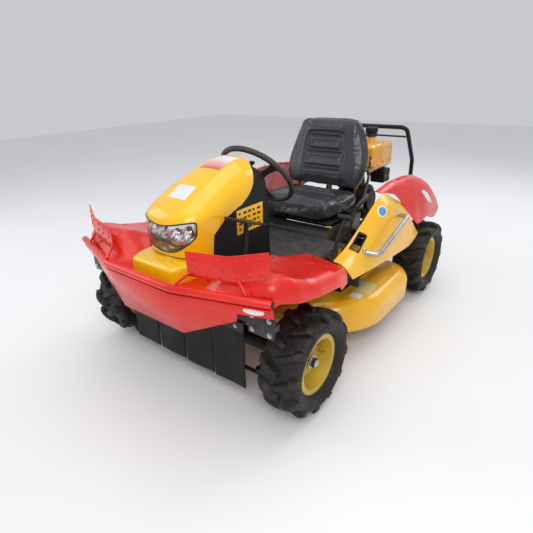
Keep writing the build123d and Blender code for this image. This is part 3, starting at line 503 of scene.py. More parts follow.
for finish_material, node_names in CAD_FINISH.values():
    for node_name in node_names:
        finish_cad(node_name, finish_material)


# ------------------------------------------------------------------ hood and headlight
HOOD_HALF = 148.0
HOOD_NOSE_START = -60.0
HOOD_NOSE_LENGTH = 143.0
HOOD_TOP = [(-203, 664), (-201, 694), (-196, 714), (-188, 727), (-176, 738), (-150, 752), (-120, 766),
            (-43, 808), (34, 838), (100, 861), (144, 873), (202, 878)]
HOOD_LOW = [(-203, 574), (-125, 574), (-119, 516), (-92, 514), (-86, 587), (-78, 643), (-10, 692), (78, 718),
            (125, 745), (160, 778), (184, 822), (200, 862)]
HOOD_SHOULDER = [(-203, 40), (-150, 60), (-60, 100), (60, 145), (202, 170)]


def at(table, d):
    """The value of a (distance, value) table at one distance."""
    return float(np.interp(d, [p[0] for p in table], [p[1] for p in table]))


def clamped(value):
    return min(1.0, max(0.0, value))


def hood_half_width(d):
    if d >= HOOD_NOSE_START:
        return HOOD_HALF
    share = min(1.0, (HOOD_NOSE_START - d) / HOOD_NOSE_LENGTH)
    return HOOD_HALF * (1 - share ** 2.6) ** (1 / 2.6)


PANEL_HALF = 64.0         # the hood's top carries a shallow pressed panel of this half width
PANEL_DEPTH = 2.6
PANEL_START = -150.0
NOSE_LEAN = 13.0          # how far the chin under the headlight leans back
CHIN_TOP, CHIN_HEIGHT = 640.0, 66.0


def hood_section(d, samples=44):
    """Points over the hood at one distance behind the axle, from its left lower edge to the right one."""
    top, low, shoulder, half = at(HOOD_TOP, d), at(HOOD_LOW, d), at(HOOD_SHOULDER, d), hood_half_width(d)
    spring = top - shoulder
    power = 2 / 2.5
    arc = []
    for i in range(240):
        turn = math.pi * i / 239
        x = half * abs(math.cos(turn)) ** power * (1 if turn < math.pi / 2 else -1)
        z = spring + shoulder * math.sin(turn) ** power
        arc.append((x, z))
    side = [(half, low + (spring - low) * i / 40) for i in range(40)] if low < spring else []
    path = side + [p for p in arc if p[1] >= low] + [(-x, z) for x, z in reversed(side)]
    path = np.array(path)
    run = np.concatenate([[0], np.cumsum(np.hypot(*np.diff(path, axis=0).T))])
    wanted = np.linspace(0, run[-1], samples)
    xs, zs = np.interp(wanted, run, path[:, 0]), np.interp(wanted, run, path[:, 1])
    points = []
    for x, z in zip(xs, zs):
        inset = clamped((PANEL_HALF - abs(x)) / 7) * clamped((d - PANEL_START) / 30)
        lean = max(0.0, (CHIN_TOP - z) / CHIN_HEIGHT) * max(0.0, (-100 - d) / 105) * NOSE_LEAN
        sunk = PANEL_DEPTH * inset * inset * (3 - 2 * inset) if z > top - 40 else 0.0
        points.append(P(x, d + lean, z - sunk))
    return points


def hood_part():
    front = [HOOD_NOSE_START - HOOD_NOSE_LENGTH * math.sin(math.pi / 2 * i / 26) for i in range(26, 0, -1)]
    rear = [HOOD_NOSE_START + (201.5 - HOOD_NOSE_START) * i / 34 for i in range(35)]
    extra = [-124.0, -119.0, -91.5, -86.5]
    stations = sorted(set(front + rear + extra))
    rows = [hood_section(d) for d in stations]
    verts = [p for row in rows for p in row]
    return verts, grid_faces(len(rows), len(rows[0]))


LENS_SIDE = [(40, 694), (80, 701), (112, 706), (136, 705), (141, 696), (135, 664), (113, 632), (78, 606), (40, 592)]
LENS_EDGE = [(0, 690)] + LENS_SIDE + [(0, 588)] + [(-x, z) for x, z in reversed(LENS_SIDE)]
LENS_BACK = -148.0
LENS_MIDDLE = 642.0
AHEAD = -300.0            # a distance in front of the whole hood


def lens_prism(scale):
    """The headlight's outline, scaled about its middle, as a prism from ahead of the hood to its back."""
    outline = smooth_rows(LENS_EDGE + [LENS_EDGE[0]], 3)[:-1]
    ring = [P(x * scale, AHEAD, LENS_MIDDLE + (z - LENS_MIDDLE) * scale) for x, z in outline]
    return prism(ring, span(0, LENS_BACK - AHEAD, 0))


hood_verts, hood_faces = hood_part()
hood = piece("hood_shell", hood_verts, hood_faces, YELLOW, "hood", ["hood"], "hood_yellow")
hood_surface = tree_of(hood)
thicken(hood, 4)
cut(hood, *lens_prism(1.0))
bevel(hood, 1.0, 2, 50)

lens = piece("headlight_lens_shell", hood_verts, hood_faces, GLASS, "hood", ["headlight_lens"], "lens")
thicken(lens, 3)
cut(lens, *lens_prism(0.985), keep=True)

seal_points = []
for seal_x, seal_z in smooth_rows(LENS_EDGE + [LENS_EDGE[0]], 6)[:-1]:
    seal_start = P(seal_x, AHEAD, seal_z)
    seal_hit = hood_surface.ray_cast(seal_start, Vector((0, 1, 0)))[0]
    if seal_hit is None or seal_hit.y > P(0, LENS_BACK, 0).y:
        seal_hit = hood_surface.find_nearest(P(seal_x, LENS_BACK, seal_z))[0]
    seal_points.append(seal_hit)
seal_verts, seal_faces = swept(seal_points, 2.6, 10, closed=True)
piece("headlight_seal", seal_verts, seal_faces, SEAL, "hood", slot="lens", sharp=60)


LAMP_XS = (-90, -36, 36, 90)
BOWL_MOUTH_D = -163
BOWL_RADIUS = 25
BOWL_DEPTH = 26
BOWL_WIDENING = 1.15


def lamp_height(x):
    return 638 + abs(x) * 0.2


def faceted_bowl(x, rings=5, segments=14):
    """Reflector bowl of flat facets, opening forward."""
    verts = []
    for i in range(rings + 1):
        share = 0.18 + 0.82 * i / rings
        for k in range(segments):
            turn = 2 * math.pi * (k + 0.5 * (i % 2)) / segments
            back = BOWL_DEPTH * (1 - share ** 2)
            bowl_x = x + BOWL_RADIUS * share * math.cos(turn) * BOWL_WIDENING
            verts.append(P(bowl_x, BOWL_MOUTH_D + back, lamp_height(x) + BOWL_RADIUS * share * math.sin(turn)))
    return verts, grid_faces(rings + 1, segments, wrap_cols=True)


SHEET_HALF = 136
SHEET_D = -158


def reflector_sheet():
    """Chrome housing behind the lens: a wavy faceted sheet that follows the opening."""
    columns, rows = 30, 9
    verts = []
    for i in range(rows):
        for j in range(columns):
            x = -SHEET_HALF + 2 * SHEET_HALF * j / (columns - 1)
            share = i / (rows - 1)
            outward = abs(x / SHEET_HALF)
            low = 588 + 68 * outward ** 1.7
            high = 690 + 13 * outward ** 1.1
            z = low + (high - low) * share
            bow = 34 * outward ** 2
            ripple = 4.0 if (i + j) % 2 else -2.0
            verts.append(P(x * 0.985, SHEET_D + bow + ripple, z))
    return verts, grid_faces(rows, columns)


reflector_parts = [reflector_sheet()] + [faceted_bowl(lamp_x) for lamp_x in LAMP_XS]
piece("headlight_reflector_set", *merged(reflector_parts), MIRROR, "hood", ["headlight_reflector"], "reflector",
      sharp=5)
BULB = [(-8, 0.01), (-7, 4), (0, 6), (8, 6), (14, 4.5), (18, 0.01)]
BULB_D = -152
bulb_parts = [lathe(BULB, P(x, BULB_D, lamp_height(x)), (0, -1, 0), 16) for x in LAMP_XS]
piece("headlight_bulbs", *merged(bulb_parts), GLASS, "hood", slot="lens")

ABOVE = 1000              # a height over the whole machine
decal("hood_white_patch", rectangle(P(-46, -112, ABOVE), span(92, 0, 0), span(0, 64, 0), 16, 12), hood_surface,
      (0, 0, -1), WHITE, "hood", "hood_yellow")
PATCH_FADE = gradient_label("label_fade", (0.70, 0.10, 0.05), (0.86, 0.78, 0.76), P(0, 70, 0).y, P(0, 150, 0).y)
decal("hood_fade_patch", rectangle(P(-52, 66, ABOVE), span(104, 0, 0), span(0, 118, 0), 16, 16), hood_surface,
      (0, 0, -1), PATCH_FADE, "hood", "hood_yellow")


# ------------------------------------------------------------------ nose box and front body
def nose_part():
    """Box under the headlight, with rounded corners and a rounded top edge."""
    levels = [(504, 0), (552, 0), (560, 3), (565, 9), (566.5, 16)]      # height, inset of its rounded edge
    back_d = -128
    plan = [(139, back_d), (136, -203), (132, -213), (112, -257), (104, -264), (92, -266)]
    ring = plan + [(40, -266.5), (-40, -266.5)] + [(-x, d) for x, d in reversed(plan)]
    verts = []
    for z, inset in levels:
        for x, d in ring:
            verts.append(P(x * (1 - inset / 140), back_d + (d - back_d) * (1 - inset / 138), z))
    count = len(ring)
    faces = grid_faces(len(levels), count)
    faces.append(tuple(range((len(levels) - 1) * count, len(levels) * count)))
    return verts, faces


nose = piece("nose_box_shell", *nose_part(), YELLOW, "chassis", ["nose_box"], "hood_yellow", sharp=60)
thicken(nose, 3)
bevel(nose, 5, 4, 25)

WING_TOP = [(-310, 508), (-250, 512), (-228, 530), (-205, 566), (-180, 586), (-150, 594), (-110, 586),
            (-40, 557), (40, 538), (130, 522), (166, 500), (230, 486), (300, 472), (340, 464)]
WING_LOW = [(-310, 500), (-206, 500), (-176, 520), (-91, 499), (31, 481), (126, 464), (160, 452), (184, 424),
            (340, 424)]
WING_IN = [(-302, 150), (-126, 150), (-112, 196), (-62, 257), (190, 257), (250, 269), (336, 287)]
WING_OUT = [(-302, 196), (-268, 300), (-218, 455), (-192, 503), (-110, 543), (0, 556), (128, 552), (168, 539),
            (250, 524), (297, 440), (336, 300)]

WING_RIBS = (300, 330, 360, 390)
PLATFORM_TOP = 508.0


def wing_height(x, d):
    """Height of the left wing's top at a point: a crown that rolls over at its outer edge."""
    top, low, outer = at(WING_TOP, d), at(WING_LOW, d), at(WING_OUT, d)
    inner_flat = PLATFORM_TOP + (top - PLATFORM_TOP) * clamped((x - 205) / 95) if d < -20 else top
    blend_in = clamped((d + 110) / 90)
    crown = inner_flat * (1 - blend_in) + top * blend_in
    roll = 52.0 if d < 150 else 26.0
    near = clamped((outer - x) / roll)
    drop = (1 - (1 - (1 - near) ** 2.2) ** (1 / 2.2))
    ribs = 0.0
    if -20 < d < 250:
        fade = min(1.0, (d + 20) / 50) * min(1.0, (250 - d) / 60)
        for rib_x in WING_RIBS:
            ribs += 2.2 * fade * math.exp(-((x - rib_x) / 5.5) ** 2)
    arc = math.hypot(x - 390, d + 60)
    emboss = 3.0 * math.exp(-((arc - 96) / 6) ** 2) if d < -20 and x > 300 else 0.0
    return crown - (crown - low) * drop * 0.92 + ribs * near + emboss * near


def wing_part():
    """Left wing of the front body as a shell: crown, rolled edges and skirts down to the lip."""
    rows, columns = 96, 46
    verts = []
    for i in range(rows):
        d = -301 + (337 + 300) * i / (rows - 1)
        inner, outer, low = at(WING_IN, d), at(WING_OUT, d), at(WING_LOW, d)
        line = [P(inner, d, min(low, wing_height(inner, d) - 4))]
        for j in range(columns):
            share = j / (columns - 1)
            share = 1 - (1 - share) ** 1.5
            x = inner + (outer - inner) * share
            line.append(P(x, d, wing_height(x, d)))
        line.append(P(outer, d, low))
        verts += line
    return verts, grid_faces(rows, columns + 2)


for side_name, side in (("left", 1), ("right", -1)):
    wing = piece("front_wing_" + side_name, *on_side(wing_part(), side), RED, "chassis",
                 ["front_fender_" + side_name], "red_paint", sharp=50)
    thicken(wing, 4)
    bevel(wing, 0.8, 2, 55)

platform = [(-196, -286), (196, -286), (196, -122), (150, -112), (150, -80), (-150, -80), (-150, -112),
            (-196, -122)]
platform_piece = piece("front_platform_sheet", *prism([P(x, d, 501) for x, d in platform], span(0, 0, 6)),
                       RED, "chassis", ["front_platform"], "red_paint")
bevel(platform_piece, 1.5, 3)

# ------------------------------------------------------------------ bumper, guards and flaps
BUMPER_BEND = (172, -324, 540)
BUMPER_END = (512, -215, 535)
bumper_run = P(*BUMPER_END) - P(*BUMPER_BEND)
bumper_out = Vector((bumper_run.y, -bumper_run.x, 0)).normalized()

lip_points = [P(-508, -220.5, 514), P(-172, -328, 518), P(172, -328, 518), P(508, -220.5, 514)]
lip_verts, lip_faces = swept(lip_points, 3.2, 10)
piece("bumper_lower_bead", lip_verts, lip_faces, RED, "chassis", slot="red_paint", sharp=60)

END_CAP = [(-14, 10.5), (0, 10.5), (0.5, 13.0), (2.0, 13.0), (3.4, 11.0), (3.8, 0.01)]
cap_parts = []
for end in (1, -1):
    tip = P(end * BUMPER_END[0], BUMPER_END[1], BUMPER_END[2])
    along = Vector((bumper_run.x * end, bumper_run.y, bumper_run.z)).normalized()
    cap_parts.append(lathe(END_CAP, tip, along, 28))
piece("bumper_end_caps", *merged(cap_parts), SEAL, "chassis", slot="black_plastic")

skirt_tree = tree_of(frame["nodes"]["bumper_skirt"])
decal("bumper_oval_label", oval(P(472, -300, 499), bumper_run.normalized() * 0.036, span(0, 0, 13.5)),
      skirt_tree, -bumper_out, WHITE, "chassis", "red_paint", 0.6)

bracket_bolts = [(P(end * x, -198, z), (0, -1, 0)) for end in (1, -1) for x in (415, 486) for z in (408, 460)]
bolts("bumper_bracket_bolts", bracket_bolts, 6.5, "chassis")


GUARD_EDGE = [(204, -270, 657), (362, -238, 664), (480, -184, 686)]     # along the top of a leg guard
GUARD_DROP = (6, 0, -84)                                                # from its top to its bottom edge
DIMPLE = [(-0.5, 7.0), (0.3, 6.9), (1.6, 5.4), (2.6, 3.2), (3.0, 0.01)]


def guard_dimples(side):
    """Raised dimples in rows on both leaves of a leg guard."""
    parts = []
    down = span(*GUARD_DROP)
    for start, end in zip(GUARD_EDGE, GUARD_EDGE[1:]):
        a, b = P(*start), P(*end)
        across = b - a
        normal = across.cross(down).normalized()
        if normal.y > 0:
            normal = -normal
        for row in range(3):
            for column in range(3):
                u = (column + 0.55 + 0.16 * (row % 2)) / 3.25
                v = (row + 0.62) / 3.25
                spot = a + across * u + down * v
                spot.x *= side
                out = Vector((normal.x * side, normal.y, normal.z))
                parts.append(lathe(DIMPLE, spot, out, 20))
    return merged(parts)


for side_name, side in (("left", 1), ("right", -1)):
    piece("leg_guard_dimples_" + side_name, *guard_dimples(side), RED, "chassis", slot="red_paint", sharp=60)

guard_rolls = [swept([P(side * x, d + 1.5, z) for x, d, z in GUARD_EDGE], 2.6, 10) for side in (1, -1)]
piece("leg_guard_top_rolls", *merged(guard_rolls), RED, "chassis", slot="red_paint", sharp=60)


FLAP_COUNT = 4
FLAP_WIDTH = 165
FLAP_TOP, FLAP_DROP = 376, 295
FLAP_D = -149.5


def flap_part(index):
    """One rubber flap, with a slight wave, whose slits open towards the ground."""
    left = FLAP_WIDTH * (index - FLAP_COUNT / 2)
    columns, rows = 22, 30
    verts = []
    for i in range(rows):
        share = i / (rows - 1)
        z = FLAP_TOP - FLAP_DROP * share
        slit = 0.8 + 4.2 * max(0.0, (share - 0.35) / 0.65)
        for j in range(columns):
            across = j / (columns - 1)
            x = left + slit + (FLAP_WIDTH - 2 * slit) * across
            wave = share * (1.6 * math.sin(across * 5.2 + index * 1.7) + 1.0 * math.sin(share * 4 + index))
            low_edge = 3.0 * across * max(0.0, share - 0.9) / 0.1
            verts.append(P(x, FLAP_D + wave * 1.1, max(80.5, z + low_edge)))
    return verts, grid_faces(rows, columns)


flap_parts = [flap_part(i) for i in range(FLAP_COUNT)]
flaps = piece("rubber_flap_set", *merged(flap_parts), RUBBER, "chassis", ["rubber_flaps"], "rubber", sharp=60)
thicken(flaps, 4)
clamp_bolts = [(P(x, -158, 358), (0, -1, 0)) for x in range(-300, 301, 100)]
bolts("flap_clamp_bolts", clamp_bolts, 5.5, "chassis")

# ------------------------------------------------------------------ cowl, dash and steering wheel
cowl_tree = tree_of(frame["nodes"]["cowl"])
label_corner = P(400, 56, 600)
decal("cowl_label_plate", rectangle(label_corner, span(0, 160, 2), span(0, 4, 98), 10, 8), cowl_tree, (-1, 0, 0),
      YELLOW, "chassis", "hood_yellow")
mark_parts = []
for row in range(4):
    for column in range(5):
        width = 20 if (row + 2 * column) % 3 else 12
        corner = label_corner + span(0, 14 + column * 28, 14 + row * 21)
        placed = []
        for u, v in ((0, 0), (width, 0), (width, 9), (0, 9)):
            hit = cowl_tree.ray_cast(corner + span(0, u, v), Vector((-1, 0, 0)))[0]
            placed.append(hit + span(0.9, 0, 0))
        mark_parts.append((placed, [(0, 1, 2, 3)]))
piece("cowl_label_marks", *merged(mark_parts), SEAL, "chassis", slot="black_plastic")

wheel_centre = P(0, 360, 765)
wheel_axis = Vector(JOINTS["steering_wheel_turn"]["axis"]).normalized()
if wheel_axis.z < 0:
    wheel_axis = -wheel_axis
wheel_side = Vector((1, 0, 0))
wheel_up = wheel_axis.cross(wheel_side).normalized()
WHEEL_R = 170.0


def wheel_ring():
    """Moulded grip: an oval ring with finger waves on its underside."""
    around, sides = 168, 18
    verts = []
    for i in range(around):
        turn = 2 * math.pi * i / around
        out = wheel_side * math.cos(turn) + wheel_up * math.sin(turn)
        for k in range(sides):
            roll = 2 * math.pi * k / sides
            wave = 0.7 * math.cos(turn * 42) * max(0.0, -math.sin(roll)) ** 2
            radial, lift = 12.2 * math.cos(roll), (12.4 + wave) * math.sin(roll)
            verts.append(wheel_centre + out * (WHEEL_R + radial) / 1000 + wheel_axis * lift / 1000)
    return verts, grid_faces(around, sides, wrap_cols=True, wrap_rows=True)


def wheel_spoke(turn):
    """One flat spoke that widens at the hub and at the grip."""
    stations = [(20, 24, -13, 8), (45, 19, -12, 7), (90, 15, -9, 6), (128, 16, -5, 6), (152, 22, -1, 7),
                (163, 27, 1, 6)]
    rows = []
    direction = wheel_side * math.cos(turn) + wheel_up * math.sin(turn)
    across = wheel_axis.cross(direction)
    for radius, half, lift, thick in smooth_rows(stations, 5):
        centre = wheel_centre + direction * radius / 1000 + wheel_axis * lift / 1000
        ring = []
        for k in range(16):
            roll = 2 * math.pi * k / 16
            wide = signed_power(math.cos(roll), 0.6) * half
            tall = signed_power(math.sin(roll), 0.6) * thick
            ring.append(centre + across * wide / 1000 + wheel_axis * tall / 1000)
        rows.append(ring)
    verts = [p for ring in rows for p in ring]
    return verts, grid_faces(len(rows), 16, wrap_cols=True)


SPOKE_ANGLES = (90, 210, 330)      # one spoke points down, towards the driver
spokes = [wheel_spoke(math.radians(angle)) for angle in SPOKE_ANGLES]
HUB = [(-28, 0.01), (-28, 27), (-10, 34), (-3, 35), (2, 32), (5, 24), (6.5, 12), (7, 0.01)]
hub = lathe(HUB, wheel_centre, wheel_axis, 40)
shaft = swept([wheel_centre - wheel_axis * 0.02, wheel_centre - wheel_axis * 0.34], 9, 20)
piece("steering_wheel_moulding", *merged([wheel_ring(), *spokes, hub, shaft]), GRIP, "steering_wheel",
      ["steering_wheel"], "black_plastic", sharp=50)

# ------------------------------------------------------------------ seat
VOXEL = 0.0055
SWELL_FRAMES = 20


def superform(stations, samples, power):
    """Rings of points round a padded block, from (axis position, half width, centre, half height) rows."""
    rows = []
    for place, half_w, centre, half_h in stations:
        ring = []
        for k in range(samples):
            turn = 2 * math.pi * k / samples
            ring.append((signed_power(math.cos(turn), 2 / power) * half_w, place,
                         centre + signed_power(math.sin(turn), 2 / power) * half_h))
        rows.append(ring)
    return rows


def closed_form(rows):
    """A closed (verts, faces) pair from rings of points."""
    verts = [p for ring in rows for p in ring]
    count = len(rows[0])
    faces = grid_faces(len(rows), count, wrap_cols=True)
    faces.append(tuple(range(count - 1, -1, -1)))
    faces.append(tuple(range((len(rows) - 1) * count, len(rows) * count)))
    return verts, faces


def vertex_array(mesh, attribute):
    """The positions or normals of a mesh's vertices, as rows of three numbers."""
    values = np.zeros(len(mesh.vertices) * 3)
    mesh.vertices.foreach_get(attribute, values)
    return values.reshape(-1, 3)


def swollen(obj, most, pinned):
    """Remeshes the pad, swells it with cloth pressure, caps how far a point may go, and smooths it."""
    remesh = obj.modifiers.new("voxels", "REMESH")
    remesh.mode = "VOXEL"
    remesh.voxel_size = VOXEL
    bake(obj)
    before = vertex_array(obj.data, "co")
    group = obj.vertex_groups.new(name="held")
    for index in np.nonzero([pinned(Vector(p)) for p in before])[0]:
        group.add([int(index)], 1.0, "REPLACE")
    cloth = obj.modifiers.new("cloth", "CLOTH")
    cloth.settings.use_pressure = True
    cloth.settings.uniform_pressure_force = 4.0
    cloth.settings.effector_weights.gravity = 0.0
    cloth.settings.tension_stiffness = 40
    cloth.settings.compression_stiffness = 40
    cloth.settings.bending_stiffness = 2.0
    cloth.settings.vertex_group_mass = "held"
    scene = bpy.context.scene
    for number in range(1, SWELL_FRAMES + 1):
        scene.frame_set(number)
    bake(obj)
    obj.vertex_groups.clear()
    move = vertex_array(obj.data, "co") - before
    length = np.linalg.norm(move, axis=1, keepdims=True)
    limited = before + move * np.minimum(1.0, (most / 1000) / np.maximum(length, 1e-9))
    obj.data.vertices.foreach_set("co", limited.ravel())
    scene.frame_set(1)
    ease = obj.modifiers.new("ease", "SMOOTH")
    ease.factor = 0.5
    ease.iterations = 4
    detail = obj.modifiers.new("detail", "SUBSURF")
    detail.levels = 1
    detail.render_levels = 1
    return bake(obj, sharp=60)


def press_grooves(obj, grooves, facing, depth, width):
    """Presses sewn channels into the faces that look along a direction, along lines of points."""
    mesh = obj.data
    co = vertex_array(mesh, "co")
    normals = vertex_array(mesh, "normal")
    look = np.array(Vector(facing).normalized())
    share = np.clip((normals @ look - 0.15) / 0.3, 0, 1)
    flat = co - np.outer(co @ look, look)
    nearest = np.full(len(co), np.inf)
    for line in grooves:
        points = [np.array(p) - (np.array(p) @ look) * look for p in line]
        for a, b in zip(points[:-1], points[1:]):
            span = b - a
            t = np.clip(((flat - a) @ span) / max(span @ span, 1e-12), 0, 1)
            nearest = np.minimum(nearest, np.linalg.norm(flat - a - t[:, None] * span, axis=1))
    press = depth / 1000 * np.exp(-(nearest * 1000 / width) ** 2)
    pillow = 0.28 * depth / 1000 * np.exp(-((nearest * 1000 - 2.6 * width) / (1.5 * width)) ** 2)
    co += normals * ((pillow - press) * share)[:, None]
    mesh.vertices.foreach_set("co", co.ravel())
    mesh.update()


def rounded_line(points, closed=False, steps=6):
    rows = smooth_rows(list(points) + ([points[0]] if closed else []), steps)
    return [P(*row) for row in rows]


CUSHION_STATIONS = [  # distance behind axle, half width, centre height, half height
    (618, 178, 548, 24), (622, 196, 549, 34), (636, 208, 549, 42), (662, 218, 552, 46), (720, 222, 552, 45),
    (800, 222, 550, 44), (870, 220, 549, 43), (915, 214, 549, 42), (934, 200, 549, 36), (940, 184, 549, 27),
]
cushion_rows = [[P(x, d, z + 5 * max(0.0, (abs(x) - 130) / 90) ** 2) for x, d, z in ring]
                for ring in superform(smooth_rows(CUSHION_STATIONS, 3), 44, 4.2)]
cushion = piece("seat_cushion_pad", *closed_form(cushion_rows), VINYL, "seat", ["seat_cushion"], "seat_vinyl",
                sharp=60)
swollen(cushion, 9, lambda p: p.z < 0.512)
side_channel = [(150, 940), (150, 860), (158, 760), (166, 690), (176, 655)]
cushion_lines = [rounded_line([(side * x, d, 0) for x, d in side_channel]) for side in (1, -1)]
cushion_lines.append(rounded_line([(-150, 792, 0), (-60, 786, 0), (60, 786, 0), (150, 792, 0)]))
for channel_d in (832, 874, 914):
    cushion_lines.append([P(-100, channel_d, 0), P(100, channel_d, 0)])
press_grooves(cushion, cushion_lines, (0, 0, 1), 9.0, 6.5)

BOLSTER = 11              # how far the back's sides stand forward
BACK_STATIONS = [  # height, half width, centre of thickness (behind axle), half thickness
    (612, 196, 936, 30), (618, 210, 940, 42), (650, 226, 950, 52), (700, 234, 962, 54), (745, 236, 976, 54),
    (800, 224, 990, 52), (860, 205, 1000, 48), (905, 188, 1006, 43), (938, 170, 1009, 34), (950, 152, 1010, 23),
    (953, 140, 1010, 14),
]
back_rows = []
for ring in superform(smooth_rows(BACK_STATIONS, 3), 48, 4.0):
    half_w = ring[0][0]
    back_rows.append([P(x, d - BOLSTER * max(0.0, (abs(x) / half_w - 0.62) / 0.38) ** 1.5, z)
                      for x, z, d in ring])
back = piece("seat_back_pad", *closed_form(back_rows), VINYL, "seat", ["seat_back"], "seat_vinyl", sharp=60)
swollen(back, 8, lambda p: p.y > P(0, 1030, 0).y)
u_side = [(118, 0, 624), (120, 0, 700), (116, 0, 800), (108, 0, 868), (92, 0, 884), (40, 0, 888)]
u_groove = rounded_line(u_side + [(-x, d, z) for x, d, z in reversed(u_side)])
top_pad = rounded_line([(88, 0, 866), (-88, 0, 866), (-94, 0, 856), (-95, 0, 812), (-88, 0, 802), (88, 0, 802),
                        (95, 0, 812), (94, 0, 856)], closed=True, steps=4)
back_lines = [u_groove, top_pad, [P(-102, 0, 786), P(102, 0, 786)], [P(-106, 0, 716), P(106, 0, 716)],
              [P(-106, 0, 700), P(106, 0, 700)]]
press_grooves(back, back_lines, (0, -1, 0), 7.5, 5.5)

hinge_bolts = [(P(side * 216.5, d, z), (side, 0, 0)) for side in (1, -1)
               for d, z in ((1040, 690), (1050, 735), (975, 512))]
bolts("seat_hinge_bolts", hinge_bolts, 6.0, "seat")
piece("seat_release_rod", *swept([P(x, 630, 484) for x in (-30, 205)], 3.5, 12), CHROME, "seat",
      slot="bright_steel", sharp=60)
KNOB = [(0, 0.01), (0, 7), (6, 8.5), (22, 8.5), (28, 6), (29, 0.01)]
piece("seat_release_knob", *lathe(KNOB, P(203, 630, 484), (1, 0, 0), 20), BRASS, "seat", slot="bright_steel")

# ------------------------------------------------------------------ side covers and rear fenders
COVER_STATIONS = [  # distance, then (x, z) of the top edge, the bulge and the lower edge
    (302, (430, 476), (478, 470), (522, 420)), (420, (424, 500), (480, 484), (520, 404)),
    (560, (421, 562), (484, 522), (518, 388)), (748, (420, 646), (488, 580), (516, 370)),
    (870, (434, 606), (492, 540), (514, 360)), (965, (456, 548), (498, 480), (512, 357)),
    (1060, (497, 406), (504, 398), (510, 386)),
]
FENDER_STATIONS = [
    (752, (385, 660), (408, 660), (418, 656)), (826, (385, 668), (414, 667), (430, 640)),
    (897, (385, 676), (424, 673), (446, 606)), (1043, (385, 674), (450, 662), (496, 450)),
    (1110, (385, 668), (460, 650), (500, 428)), (1200, (385, 656), (470, 630), (502, 440)),
    (1290, (385, 632), (474, 600), (500, 410)), (1370, (385, 592), (470, 560), (496, 402)),
    (1450, (385, 530), (456, 508), (484, 436)), (1480, (385, 492), (428, 484), (440, 472)),
]


def panel_rows(stations, steps, samples, pull):
    """Rows over a bent panel: each section runs top edge, rounded bulge, lower edge."""
    flat = [(d, *top, *bulge, *low) for d, top, bulge, low in stations]
    rows = []
    for d, tx, tz, bx, bz, lx, lz in smooth_rows(flat, steps):
        top, bulge, low = Vector((tx, tz)), Vector((bx, bz)), Vector((lx, lz))
        row = []
        for k in range(samples):
            t = k / (samples - 1)
            first = top.lerp(bulge, min(1.0, t * 2))
            second = bulge.lerp(low, max(0.0, t * 2 - 1))
            straight = first if t < 0.5 else second
            around = (top * (1 - t) ** 2 + bulge * 2 * t * (1 - t) + low * t * t)
            near = math.exp(-((t - 0.5) / pull) ** 2)
            point = straight.lerp(around, near * 0.55)
            row.append((point.x, d, point.y))
        rows.append(row)
    return rows


def panel(stations, steps, samples, pull):
    rows = panel_rows(stations, steps, samples, pull)
    return [P(*p) for row in rows for p in row], grid_faces(len(rows), samples)


